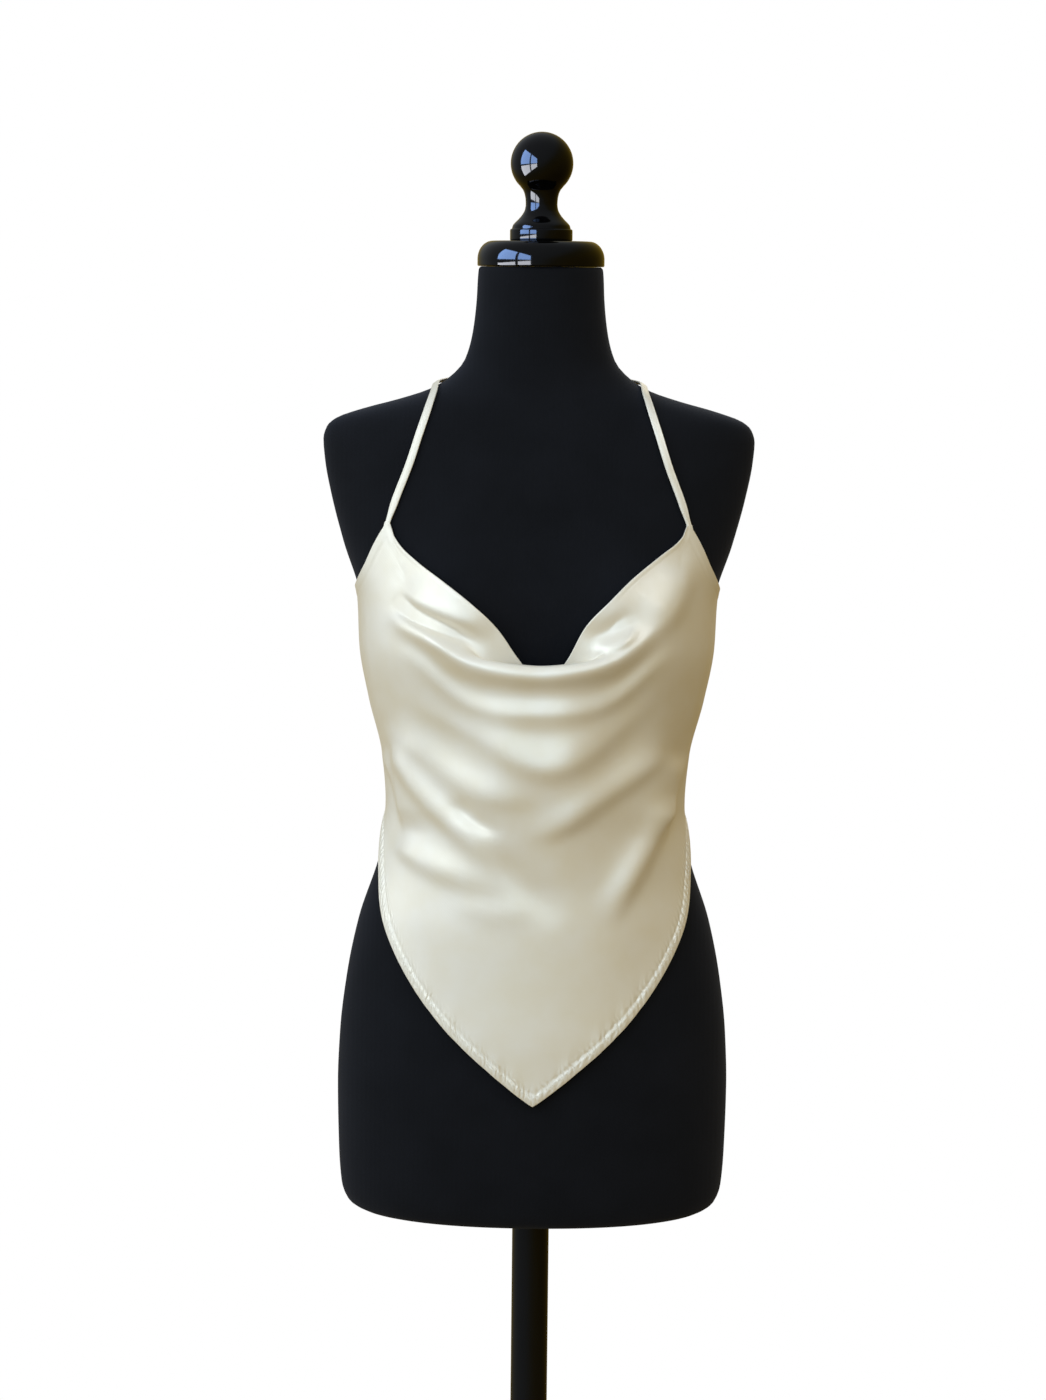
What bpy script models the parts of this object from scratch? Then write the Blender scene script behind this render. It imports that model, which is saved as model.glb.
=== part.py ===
"""Halter neck top in bias-cut satin, worn by a limbless dress form on a pole stand.

Metres, +Z up. The origin is the centre of the underside of the base. The front of the top faces -Y
and +X is on the viewer's right.

Places on the form are given by an angle and a height. The angle goes round the body from the centre
front (0) by the viewer's right side (90) to the centre back (180).
"""

import math

import bmesh
import bpy
import numpy as np

# ---------------------------------------------------------------- driving dimensions
SEAM_GAP = 0.0003            # between neighbouring pieces

# The dress form
SQUARENESS = 2.2             # exponent of the form's oval sections: 2 is an ellipse
BUST_X = 0.084               # of each swelling's highest point, from the centre
BUST_Z = 1.222
BUST_HEIGHT = 0.031
BUST_SPREAD_X = 0.042
BUST_SPREAD_Z = 0.046
FORM_FACETS = 48
RING_STEP = 0.0260           # between the form's rings, at most

# One row for each level of the form, from its underside up to the neck.
FORM_COLUMNS = ("height", "half_width", "front", "back")
FORM_SECTIONS = (
    (0.7120, 0.1420, 0.0780, 0.0880),
    (0.7145, 0.1530, 0.0870, 0.0980),
    (0.7210, 0.1625, 0.0940, 0.1060),
    (0.7350, 0.1675, 0.0980, 0.1110),
    (0.7700, 0.1700, 0.1010, 0.1170),
    (0.8250, 0.1711, 0.1035, 0.1230),
    (0.8700, 0.1693, 0.1030, 0.1230),
    (0.9200, 0.1635, 0.1000, 0.1180),
    (0.9700, 0.1533, 0.0950, 0.1080),
    (1.0200, 0.1368, 0.0860, 0.0950),
    (1.0700, 0.1245, 0.0800, 0.0850),
    (1.1150, 0.1285, 0.0820, 0.0830),
    (1.1650, 0.1415, 0.0860, 0.0870),
    (1.2100, 0.1505, 0.0880, 0.0930),
    (1.2500, 0.1532, 0.0880, 0.0985),
    (1.3000, 0.1683, 0.0810, 0.1010),
    (1.3400, 0.1788, 0.0730, 0.0990),
    (1.3700, 0.1845, 0.0670, 0.0940),
    (1.3880, 0.1860, 0.0625, 0.0890),
    (1.3985, 0.1830, 0.0595, 0.0845),
    (1.4055, 0.1754, 0.0575, 0.0810),
    (1.4140, 0.1521, 0.0550, 0.0765),
    (1.4225, 0.1210, 0.0530, 0.0715),
    (1.4310, 0.0955, 0.0515, 0.0665),
    (1.4400, 0.0797, 0.0505, 0.0625),
    (1.4570, 0.0645, 0.0495, 0.0570),
    (1.4830, 0.0576, 0.0495, 0.0530),
    (1.5080, 0.0549, 0.0500, 0.0510),
    (1.5320, 0.0536, 0.0514, 0.0519),
    (1.5350, 0.0530, 0.0508, 0.0513),
    (1.5365, 0.0514, 0.0492, 0.0497),
)
NECK_TOP = FORM_SECTIONS[-1][0]
FORM_UNDERSIDE = FORM_SECTIONS[0][0]

# The turned pieces above the neck
CAP_HEIGHT = 0.0216
CAP_RADIUS = 0.0545
CAP_SHOULDER_REACH = 0.0130  # of its rounded shoulder, inward from the rim
CAP_SHOULDER_DROP = 0.0155   # and down from the top
FINIAL_FOOT_RADIUS = 0.0268
FINIAL_FOOT_HEIGHT = 0.0100
FINIAL_FOOT_EDGE = 0.0015
BALL_RADIUS = 0.0268
BALL_RISE = 0.0656           # of the ball's centre, above the cap
# The finial's turned neck, from its foot up to the ball: heights above the cap, and radii.
FINIAL_NECK_COLUMNS = ("rise", "radius")
FINIAL_NECK = (
    (0.0105, 0.0251),
    (0.0130, 0.0244),
    (0.0150, 0.0228),
    (0.0180, 0.0198),
    (0.0220, 0.0165),
    (0.0265, 0.0142),
    (0.0310, 0.0136),
    (0.0350, 0.0138),
    (0.0390, 0.0145),
    (0.0425, 0.0158),
    (0.0464, 0.0187),
)

# The stand
POLE_RADIUS = 0.0162
BASE_RADIUS = 0.1700
BASE_EDGE_HEIGHT = 0.0100
BASE_HEIGHT = 0.0360
BASE_SOCKET_RADIUS = 0.0260

# The cloth
CLOTH_THICKNESS = 0.0012
TIP_ANGLE = 45.0             # where each strap leaves the panel
TIP_HALF_WIDTH = 1.0         # of the flat top of each tip, in degrees
CORNER_ANGLE = 156.0         # where each side corner ends at the back
SIDE_ANGLE = 96.0            # the columns are closer together up to here
COLUMN_STEP = 5.5            # between the panel's columns, in degrees, at most
BACK_COLUMN_STEP = 8.6
ROW_STEP = 0.0130            # between its rows at the centre front, at most
LEAST_FOLD_WIDTH = 0.0105    # of a fold's side, so that the rows can follow it
LEAST_STAND_OFF = 0.0018     # of the cloth's middle from the form

# One row for each line that runs across the front of the panel, from the neckline down to the hem.
# z_ columns are heights at that angle, out_ columns are how far the cloth stands off the form.
LINE_COLUMNS = ("line", "z_0", "z_10", "z_25", "z_45", "out_0", "out_10", "out_25", "out_45", "out_65")
LINES = (
    ("neckline",      1.196, 1.2265, 1.268, 1.320, 0.0120, 0.0110, 0.0070, 0.0028, 0.0024),
    ("behind_roll",   1.182, 1.197, 1.243, 1.292, 0.0130, 0.0115, 0.0045, 0.0024, 0.0024),
    ("roll_back",     1.194, 1.200, 1.228, 1.268, 0.0220, 0.0185, 0.0050, 0.0024, 0.0024),
    ("roll_crest",    1.207, 1.209, 1.219, 1.250, 0.0305, 0.0270, 0.0095, 0.0026, 0.0024),
    ("roll_front",    1.200, 1.202, 1.212, 1.238, 0.0375, 0.0340, 0.0140, 0.0030, 0.0024),
    ("under_roll",    1.190, 1.192, 1.202, 1.228, 0.0335, 0.0300, 0.0105, 0.0028, 0.0024),
    ("hollow",        1.179, 1.181, 1.192, 1.219, 0.0332, 0.0298, 0.0094, 0.0028, 0.0024),
    ("second_fold",   1.167, 1.169, 1.180, 1.209, 0.0370, 0.0337, 0.0132, 0.0034, 0.0024),
    ("second_valley", 1.152, 1.155, 1.166, 1.192, 0.0364, 0.0332, 0.0128, 0.0036, 0.0024),
    ("bust_low",      1.125, 1.128, 1.140, 1.160, 0.0410, 0.0380, 0.0190, 0.0064, 0.0028),
    ("over_waist",    1.088, 1.091, 1.101, 1.120, 0.0400, 0.0385, 0.0260, 0.0130, 0.0036),
    ("waist",         1.050, 1.053, 1.062, 1.078, 0.0340, 0.0330, 0.0260, 0.0150, 0.0045),
    ("apron_top",     1.008, 1.012, 1.020, 1.044, 0.0230, 0.0225, 0.0190, 0.0120, 0.0045),
    ("apron",         0.945, 0.955, 0.972, 1.007, 0.0130, 0.0130, 0.0120, 0.0080, 0.0045),
    ("apron_low",     0.880, 0.900, 0.930, 0.975, 0.0080, 0.0080, 0.0070, 0.0055, 0.0040),
    ("hem",           0.827, 0.854, 0.893, 0.949, 0.0060, 0.0060, 0.0050, 0.0045, 0.0040),
)
LINE_Z_ANGLES = (0.0, 10.0, 25.0, 45.0)
LINE_OUT_ANGLES = (0.0, 10.0, 25.0, 45.0, 65.0)

# The panel's two edges beyond the tips, and how far it stands off the form there.
SIDE_COLUMNS = ("angle", "top", "hem", "out_top", "out_hem")
SIDES = (
    (45.0, 1.3200, 0.9490, 0.0028, 0.0045),
    (63.0, 1.2825, 0.9960, 0.0024, 0.0045),
    (77.0, 1.2670, 1.0310, 0.0022, 0.0050),
    (90.0, 1.2585, 1.0520, 0.0022, 0.0060),
    (105.0, 1.2320, 1.0620, 0.0020, 0.0040),
    (120.0, 1.1880, 1.0680, 0.0018, 0.0022),
    (138.0, 1.1270, 1.0750, 0.0018, 0.0018),
    (156.0, 1.0915, 1.0825, 0.0018, 0.0018),
)

# The neckline between the tips: heights by angle. The V sits a little to the right.
NECK_COLUMNS = ("angle", "height")
NECKLINE = (
    (-45.0, 1.3195),
    (-43.2, 1.3085),
    (-40.8, 1.2995),
    (-36.6, 1.2900),
    (-28.0, 1.2730),
    (-19.6, 1.2540),
    (-12.2, 1.2350),
    (-5.4, 1.2095),
    (2.0, 1.1880),
    (9.0, 1.2095),
    (14.5, 1.2375),
    (21.0, 1.2570),
    (27.5, 1.2765),
    (36.0, 1.2955),
    (40.5, 1.3035),
    (43.0, 1.3100),
    (45.0, 1.3200),
)

# Folds of their own, seen from the front: ridges, or troughs where the height is negative. Each
# spine runs from the left to the right through its (x, z) points. above and below are the widths of
# its two sides, and fade_in and fade_out the shares of its length over which its ends die away.
FOLD_COLUMNS = ("fold", "height", "above", "below", "fade_in", "fade_out", "spine")
FOLDS = (
    ("bust_swag", 0.0042, 0.019, 0.011, 0.30, 0.30,
     ((-0.129, 1.181), (-0.081, 1.165), (-0.030, 1.140), (0.008, 1.121), (0.045, 1.139), (0.080, 1.167), (0.114, 1.191))),
    ("left_swag", 0.0036, 0.015, 0.010, 0.30, 0.35,
     ((-0.129, 1.152), (-0.080, 1.122), (-0.038, 1.096), (0.008, 1.098))),
    ("right_swag", 0.0048, 0.014, 0.009, 0.40, 0.25,
     ((-0.020, 1.060), (0.014, 1.066), (0.037, 1.084), (0.071, 1.108), (0.111, 1.137))),
    ("left_long", 0.0048, 0.013, 0.008, 0.20, 0.35,
     ((-0.130, 1.148), (-0.093, 1.098), (-0.054, 1.056), (-0.022, 1.024))),
    ("left_low", 0.0038, 0.015, 0.008, 0.20, 0.60,
     ((-0.123, 1.045), (-0.084, 1.028), (-0.050, 1.017), (-0.012, 1.013))),
    ("left_lowest", 0.0015, 0.012, 0.008, 0.40, 0.40,
     ((-0.071, 1.002), (-0.037, 0.991), (-0.012, 0.991), (0.009, 0.994))),
    ("right_long", 0.0068, 0.014, 0.009, 0.40, 0.20,
     ((0.055, 0.976), (0.078, 1.023), (0.097, 1.060), (0.112, 1.090))),
    ("left_pocket", -0.0036, 0.008, 0.006, 0.35, 0.45,
     ((-0.066, 1.092), (-0.050, 1.076), (-0.036, 1.066), (-0.020, 1.060))),
    ("middle_valley", -0.0030, 0.014, 0.012, 0.40, 0.40,
     ((-0.044, 1.052), (-0.022, 1.031), (0.002, 1.005), (0.026, 0.981))),
    ("waist_edge_left", 0.0060, 0.024, 0.0045, 0.25, 0.35,
     ((-0.132, 1.120), (-0.117, 1.100), (-0.109, 1.075), (-0.103, 1.050))),
    ("waist_edge_right", 0.0060, 0.024, 0.0045, 0.35, 0.25,
     ((0.100, 1.046), (0.106, 1.069), (0.113, 1.090), (0.126, 1.123))),
    ("left_bust_shade", -0.0020, 0.009, 0.009, 0.40, 0.40,
     ((-0.118, 1.288), (-0.113, 1.272), (-0.108, 1.258), (-0.100, 1.246))),
    ("left_cowl_swell", 0.0058, 0.022, 0.008, 0.35, 0.35,
     ((-0.124, 1.276), (-0.098, 1.258), (-0.070, 1.244), (-0.036, 1.228))),
    ("left_cowl_valley", -0.0062, 0.008, 0.007, 0.30, 0.35,
     ((-0.124, 1.257), (-0.100, 1.241), (-0.072, 1.231), (-0.040, 1.221))),
    ("roll_left_end", 0.0045, 0.006, 0.010, 0.30, 0.45,
     ((-0.126, 1.250), (-0.101, 1.234), (-0.078, 1.226), (-0.050, 1.216))),
    ("right_cowl_swell", 0.0060, 0.024, 0.013, 0.35, 0.40,
     ((0.090, 1.232), (0.107, 1.249), (0.117, 1.270), (0.123, 1.300))),
    ("right_cowl_valley", -0.0050, 0.010, 0.010, 0.35, 0.45,
     ((0.040, 1.222), (0.054, 1.229), (0.070, 1.238), (0.084, 1.248))),
    ("right_lip", 0.0058, 0.007, 0.006, 0.30, 0.45,
     ((0.046, 1.217), (0.062, 1.222), (0.075, 1.230), (0.081, 1.243))),
)

# The straps
STRAP_WIDTH = 0.0066
STRAP_THICKNESS = 0.0018
STRAP_STAND_OFF = 0.0018     # of the strap's underside from the form
STRAP_STATIONS = 48
# The neck strap's right half, from the tip to the nape, as places on the form seen from the front.
NECK_ROUTE_COLUMNS = ("x", "height", "side")
NECK_ROUTE = (
    (0.1262, 1.3216, "front"),
    (0.1204, 1.3395, "front"),
    (0.1094, 1.3690, "front"),
    (0.1000, 1.3985, "front"),
    (0.0932, 1.4175, "front"),
    (0.0897, 1.4272, "front"),
    (0.0872, 1.4350, "edge"),
    (0.0800, 1.4362, "back"),
    (0.0620, 1.4385, "back"),
    (0.0340, 1.4425, "back"),
    (0.0000, 1.4450, "back"),
)
BACK_STRAP_HEIGHT = 1.0870


# ---------------------------------------------------------------- smooth curves through a table
def smooth(knots, values, at):
    """A smooth curve through (knots, values), read at the places in at. It never overshoots a value."""
    knots = np.asarray(knots, float)
    values = np.asarray(values, float)
    at = np.clip(np.asarray(at, float), knots[0], knots[-1])
    steps = np.diff(knots)
    slopes = np.diff(values) / steps
    turn = np.zeros(len(knots))
    same_way = slopes[:-1] * slopes[1:] > 0
    spread = steps[:-1] + steps[1:]
    weight = 1.0 + steps[1:] / spread, 1.0 + steps[:-1] / spread
    safe = np.where(same_way, slopes[:-1], 1.0), np.where(same_way, slopes[1:], 1.0)
    turn[1:-1] = np.where(same_way, 3.0 / (weight[0] / safe[0] + weight[1] / safe[1]), 0.0)
    turn[0], turn[-1] = slopes[0], slopes[-1]
    cell = np.clip(np.searchsorted(knots, at, side="right") - 1, 0, len(steps) - 1)
    width = steps[cell]
    s = (at - knots[cell]) / width
    return (
        (1 + 2 * s) * (1 - s) ** 2 * values[cell]
        + s * (1 - s) ** 2 * width * turn[cell]
        + s * s * (3 - 2 * s) * values[cell + 1]
        + s * s * (s - 1) * width * turn[cell + 1]
    )


def spline(knots, values, at):
    """The natural cubic spline through each column of values over knots, read at the places in at."""
    knots = np.asarray(knots, float)
    values = np.asarray(values, float)
    step = np.diff(knots)
    count = len(knots)
    system = np.eye(count)
    pull = np.zeros_like(values)
    for k in range(1, count - 1):
        system[k, k - 1:k + 2] = step[k - 1], 2 * (step[k - 1] + step[k]), step[k]
        rise = (values[k + 1] - values[k]) / step[k] - (values[k] - values[k - 1]) / step[k - 1]
        pull[k] = 6 * rise
    bend = np.linalg.solve(system, pull)
    cell = np.clip(np.searchsorted(knots, at, side="right") - 1, 0, count - 2)
    shape = (-1,) + (1,) * (values.ndim - 1)
    width = step[cell].reshape(shape)
    b = (np.asarray(at) - knots[cell]).reshape(shape) / width
    a = 1 - b
    curve = (a ** 3 - a) * bend[cell] + (b ** 3 - b) * bend[cell + 1]
    return a * values[cell] + b * values[cell + 1] + curve * width * width / 6


def ease(value, start, end):
    """0 before start, 1 after end, and smooth between them."""
    s = np.clip((value - start) / (end - start), 0.0, 1.0)
    return s * s * (3 - 2 * s)


def column(table, names, name):
    """One named column of a table."""
    place = names.index(name)
    return np.array([row[place] for row in table])


# ---------------------------------------------------------------- the form's surface
def form_size(height):
    """(half width, front depth, back depth) of the form at each height."""
    levels = column(FORM_SECTIONS, FORM_COLUMNS, "height")
    return [smooth(levels, column(FORM_SECTIONS, FORM_COLUMNS, name), height) for name in FORM_COLUMNS[1:]]


def bust(x, height):
    """How far the two soft swellings stand forward of the oval section."""
    rise = np.exp(-0.5 * ((height - BUST_Z) / BUST_SPREAD_Z) ** 2)
    sides = [np.exp(-0.5 * ((x - centre) / BUST_SPREAD_X) ** 2) for centre in (-BUST_X, BUST_X)]
    return BUST_HEIGHT * rise * (sides[0] + sides[1])


def form_point(angle, height):
    """Points on the form at these angles, in degrees, and heights."""
    turn = np.radians(angle)
    half_width, front, back = form_size(height)
    depth = np.where(np.cos(turn) > 0, front, back)
    power = 2.0 / SQUARENESS
    x = half_width * np.sign(np.sin(turn)) * np.abs(np.sin(turn)) ** power
    y = -depth * np.sign(np.cos(turn)) * np.abs(np.cos(turn)) ** power
    y = y - bust(x, height) * ease(np.cos(turn), 0.0, 0.35)
    return np.stack([x, y, np.broadcast_to(height, x.shape)], axis=-1)


def outward(angle, height):
    """Level directions that point straight out of the form there."""
    small_angle, small_rise = 0.5, 0.001
    along = form_point(angle + small_angle, height) - form_point(angle - small_angle, height)
    up = form_point(angle, height + small_rise) - form_point(angle, height - small_rise)
    normal = np.cross(along, up)
    normal[..., 2] *= 0.5
    return normal / np.linalg.norm(normal, axis=-1, keepdims=True)


# ---------------------------------------------------------------- the panel's surface
def both_sides(knots, values):
    """Knots and values from the centre outward, repeated in mirror image on the other side."""
    return np.r_[-knots[:0:-1], knots], np.concatenate([values[:0:-1], values])


def panel_lines(angles):
    """Heights and stand-offs of every line at these angles, all the way round to the corners."""
    side_angle = column(SIDES, SIDE_COLUMNS, "angle")
    top, hem, out_top, out_hem = (column(SIDES, SIDE_COLUMNS, name) for name in SIDE_COLUMNS[1:])
    tip_z = column(LINES, LINE_COLUMNS, "z_45")
    share = (tip_z - tip_z[-1]) / (tip_z[0] - tip_z[-1])
    front_z = [column(LINES, LINE_COLUMNS, f"z_{a:.0f}") for a in LINE_Z_ANGLES]
    side_z = [h + share * (t - h) for t, h in zip(top[1:], hem[1:])]
    knots = knots_hem = np.r_[LINE_Z_ANGLES, side_angle[1:]]
    low_edge = np.array(front_z + side_z)[:, -1]
    z = spline(*both_sides(knots, np.array(front_z + side_z)), angles)
    front_out = [column(LINES, LINE_COLUMNS, f"out_{a:.0f}") for a in LINE_OUT_ANGLES]
    side_out = [h + share * (t - h) for t, h in zip(out_top[2:], out_hem[2:])]
    knots = np.r_[LINE_OUT_ANGLES, side_angle[2:]]
    out = spline(*both_sides(knots, np.array(front_out + side_out)), angles)
    reach = np.abs(angles)
    point = spline(knots_hem, low_edge, reach) - z[:, -1]
    on_tip = np.abs(reach - TIP_ANGLE) < TIP_HALF_WIDTH * 1.01
    neck = [column(NECKLINE, NECK_COLUMNS, name) for name in NECK_COLUMNS]
    inside = smooth(*neck, np.clip(angles, -TIP_ANGLE, TIP_ANGLE))
    outside = smooth(side_angle, top, np.maximum(reach, TIP_ANGLE))
    peak = np.where(reach <= TIP_ANGLE, inside, outside)
    peak = np.where(on_tip, top[0], peak) - z[:, 0]
    place_of = np.arange(len(LINES))
    z = z + peak[:, None] * np.exp(-((place_of / 1.6) ** 2))
    z = z + point[:, None] * np.exp(-(((place_of[-1] - place_of) / 0.9) ** 2))
    return z.T, out.T


def nearest_on_spine(x, z, spine_x, spine_z):
    """(distance, place from 0 to 1, side) of the spine's nearest point. side is + above the spine."""
    best = np.full(x.shape, np.inf)
    place = np.zeros(x.shape)
    side = np.zeros(x.shape)
    pieces = len(spine_x) - 1
    for k in range(pieces):
        run_x, run_z = spine_x[k + 1] - spine_x[k], spine_z[k + 1] - spine_z[k]
        off_x, off_z = x - spine_x[k], z - spine_z[k]
        s = np.clip((off_x * run_x + off_z * run_z) / (run_x * run_x + run_z * run_z), 0.0, 1.0)
        away = np.hypot(off_x - s * run_x, off_z - s * run_z)
        closer = away < best
        best = np.where(closer, away, best)
        place = np.where(closer, (k + s) / pieces, place)
        side = np.where(closer, np.sign(run_x * off_z - run_z * off_x), side)
    return best, place, side


def fold_relief(x, z):
    """How far the folds of their own move the cloth out at each place seen from the front."""
    total = np.zeros_like(x)
    for _, height, above, below, fade_in, fade_out, spine in FOLDS:
        points = np.array(spine)
        walked = np.r_[0.0, np.cumsum(np.linalg.norm(np.diff(points, axis=0), axis=1))]
        drawn = spline(walked, points, np.linspace(0.0, walked[-1], 33))
        away, place_on, side = nearest_on_spine(x, z, drawn[:, 0], drawn[:, 1])
        width = np.maximum(np.where(side < 0, below, above), LEAST_FOLD_WIDTH)
        fade = ease(place_on, 0.0, fade_in) * ease(1.0 - place_on, 0.0, fade_out)
        total += height * fade * np.exp(-((away / width) ** 2))
    return total


def panel_rows():
    """Places of the rows among the lines, no further apart than ROW_STEP at the centre front."""
    places = [0.0]
    heights = column(LINES, LINE_COLUMNS, "z_0")
    for k, gap in enumerate(np.abs(np.diff(heights))):
        count = max(1, math.ceil(gap / ROW_STEP))
        places += [k + (j + 1) / count for j in range(count)]
    return np.array(places)


def panel_angles():
    """The panel's columns: closer together at the front, with one on each side of each tip."""
    stops = (0.0, TIP_ANGLE - TIP_HALF_WIDTH, TIP_ANGLE + TIP_HALF_WIDTH, SIDE_ANGLE, CORNER_ANGLE)
    right = [0.0]
    for start, end in zip(stops[:-1], stops[1:]):
        step = COLUMN_STEP if end <= SIDE_ANGLE else BACK_COLUMN_STEP
        count = max(1, math.ceil((end - start) / step))
        right += [start + (end - start) * (k + 1) / count for k in range(count)]
    return np.array([-angle for angle in right[:0:-1]] + right)


def panel_points():
    """The panel's middle surface, as a grid of rows from the neckline to the hem by columns."""
    angles = panel_angles()
    rows = panel_rows()
    heights, outs = panel_lines(angles)
    lines = np.arange(len(LINES), dtype=float)
    z = spline(lines, heights, rows)
    out = spline(lines, outs, rows)
    angle = np.broadcast_to(angles, z.shape)
    skin = form_point(angle, z)
    front = np.clip(np.cos(np.radians(angle)) / 0.5, 0.0, 1.0)
    out = np.maximum(out + fold_relief(skin[..., 0], z) * front, LEAST_STAND_OFF)
    return skin + outward(angle, z) * out[..., None]


# ---------------------------------------------------------------- making objects
def clear_scene():
    for item in list(bpy.data.objects):
        bpy.data.objects.remove(item, do_unlink=True)


def material(name, colour, roughness, metallic=0.0, sheen=0.0):
    made = bpy.data.materials.new(name)
    made.use_nodes = True
    shader = made.node_tree.nodes["Principled BSDF"]
    shader.inputs["Base Color"].default_value = (*colour, 1.0)
    shader.inputs["Roughness"].default_value = roughness
    shader.inputs["Metallic"].default_value = metallic
    shader.inputs["Sheen Weight"].default_value = sheen
    made.diffuse_color = (*colour, 1.0)
    return made


def place(mesh, name, finish, home):
    """Puts a mesh in the model's collection as an object shaded smooth."""
    mesh.shade_smooth()
    mesh.set_sharp_from_angle(angle=math.radians(50))
    made = bpy.data.objects.new(name, mesh)
    made.data.materials.append(finish)
    home.objects.link(made)
    return made


def skin_mesh(name, rows, ring, capped):
    """A mesh over rows of points. ring joins each row's ends, capped closes the first and last row."""
    shape = bmesh.new()
    corners = [[shape.verts.new(point) for point in row] for row in rows]
    across = len(corners[0])
    for low, high in zip(corners[:-1], corners[1:]):
        for j in range(across if ring else across - 1):
            k = (j + 1) % across
            shape.faces.new((low[j], low[k], high[k], high[j]))
    if capped:
        shape.faces.new(corners[0])
        shape.faces.new(corners[-1])
    bmesh.ops.recalc_face_normals(shape, faces=shape.faces)
    mesh = bpy.data.meshes.new(name)
    shape.to_mesh(mesh)
    shape.free()
    return mesh


def turned(name, profile, finish, home, facets=36):
    """A piece turned about the Z axis from (radius, height) points that run down its outer side."""
    mesh = bpy.data.meshes.new(name)
    edges = [(k, k + 1) for k in range(len(profile) - 1)]
    mesh.from_pydata([(radius, 0.0, height) for radius, height in profile], edges, [])
    made = bpy.data.objects.new(name, mesh)
    made.data.materials.append(finish)
    home.objects.link(made)
    turn = made.modifiers.new("Turn", "SCREW")
    turn.axis = "Z"
    turn.steps = facets
    turn.render_steps = facets
    turn.use_merge_vertices = True
    turn.merge_threshold = 0.00001
    turn.use_smooth_shade = True
    return made


def arc(centre, radius, start, end, count):
    """Points of an arc in (radius, height), by angle in degrees from +X."""
    turns = np.radians(np.linspace(start, end, count))
    return [(centre[0] + radius * math.cos(a), centre[1] + radius * math.sin(a)) for a in turns]


# ---------------------------------------------------------------- the pieces
def make_torso(finish, home):
    levels = column(FORM_SECTIONS, FORM_COLUMNS, "height")
    heights = [levels[0]]
    for low, high in zip(levels[:-1], levels[1:]):
        count = max(1, math.ceil((high - low) / RING_STEP))
        heights += [low + (high - low) * (k + 1) / count for k in range(count)]
    angles = np.arange(FORM_FACETS) * 360.0 / FORM_FACETS
    rows = [form_point(angles, np.full(FORM_FACETS, height)) for height in heights]
    return place(skin_mesh("torso", rows, ring=True, capped=True), "torso", finish, home)


def make_cap(finish, home):
    low = NECK_TOP + SEAM_GAP
    high = low + CAP_HEIGHT
    turned_in = arc((0.0, 0.0), 1.0, 90, 0, 8)
    shoulder = [
        (CAP_RADIUS - CAP_SHOULDER_REACH * (1 - r), high - CAP_SHOULDER_DROP * (1 - h)) for r, h in turned_in
    ]
    foot = arc((CAP_RADIUS - 0.0012, low + 0.0012), 0.0012, 0, -90, 4)
    profile = [(0.0, high), (CAP_RADIUS * 0.5, high)] + shoulder + foot + [(0.0, low)]
    return turned("neck_cap", profile, finish, home)


def make_finial(finish, home):
    low = NECK_TOP + CAP_HEIGHT + 2 * SEAM_GAP
    ball = low + BALL_RISE
    last_rise, last_radius = FINIAL_NECK[-1]
    under = math.degrees(math.atan2(BALL_RISE - last_rise, last_radius))
    sphere = arc((0.0, ball), BALL_RADIUS, 90, -under, 16)
    sphere[0] = (0.0, ball + BALL_RADIUS)
    neck = [(radius, low + rise) for rise, radius in FINIAL_NECK[-2::-1]]
    edge = FINIAL_FOOT_EDGE
    foot = arc((FINIAL_FOOT_RADIUS - edge, low + FINIAL_FOOT_HEIGHT - edge), edge, 90, 0, 4)
    foot += [(FINIAL_FOOT_RADIUS, low + 0.0010), (FINIAL_FOOT_RADIUS - 0.0010, low), (0.0, low)]
    return turned("finial", sphere + neck + foot, finish, home)


def make_pole(finish, home):
    low, high = BASE_HEIGHT + SEAM_GAP, FORM_UNDERSIDE - SEAM_GAP
    bpy.ops.mesh.primitive_cylinder_add(
        vertices=48, radius=POLE_RADIUS, depth=high - low, location=(0.0, 0.0, (low + high) / 2)
    )
    made = bpy.context.object
    made.name = "pole"
    for owner in list(made.users_collection):
        owner.objects.unlink(made)
    home.objects.link(made)
    made.data.materials.append(finish)
    made.data.shade_smooth()
    made.data.set_sharp_from_angle(angle=math.radians(50))
    return made


def make_base(finish, home):
    socket = BASE_SOCKET_RADIUS
    slope = [
        (socket, BASE_HEIGHT - 0.0030),
        (socket + 0.0010, BASE_HEIGHT - 0.0120),
        (socket + 0.0080, BASE_HEIGHT - 0.0180),
        (BASE_RADIUS * 0.50, BASE_EDGE_HEIGHT + 0.0050),
        (BASE_RADIUS - 0.0120, BASE_EDGE_HEIGHT + 0.0005),
    ]
    rim = arc((BASE_RADIUS - 0.0050, BASE_EDGE_HEIGHT - 0.0050), 0.0050, 80, 0, 5)
    profile = [(0.0, BASE_HEIGHT), (socket - 0.0030, BASE_HEIGHT)] + slope + rim
    profile += [(BASE_RADIUS, 0.0015), (BASE_RADIUS - 0.0015, 0.0), (0.0, 0.0)]
    return turned("base", profile, finish, home, facets=48)


def make_panel(finish, home):
    rows = panel_points()
    made = place(skin_mesh("front_panel", rows, ring=False, capped=False), "front_panel", finish, home)
    wall = made.modifiers.new("Wall", "SOLIDIFY")
    wall.thickness = CLOTH_THICKNESS
    wall.offset = 0.0
    return made


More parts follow.
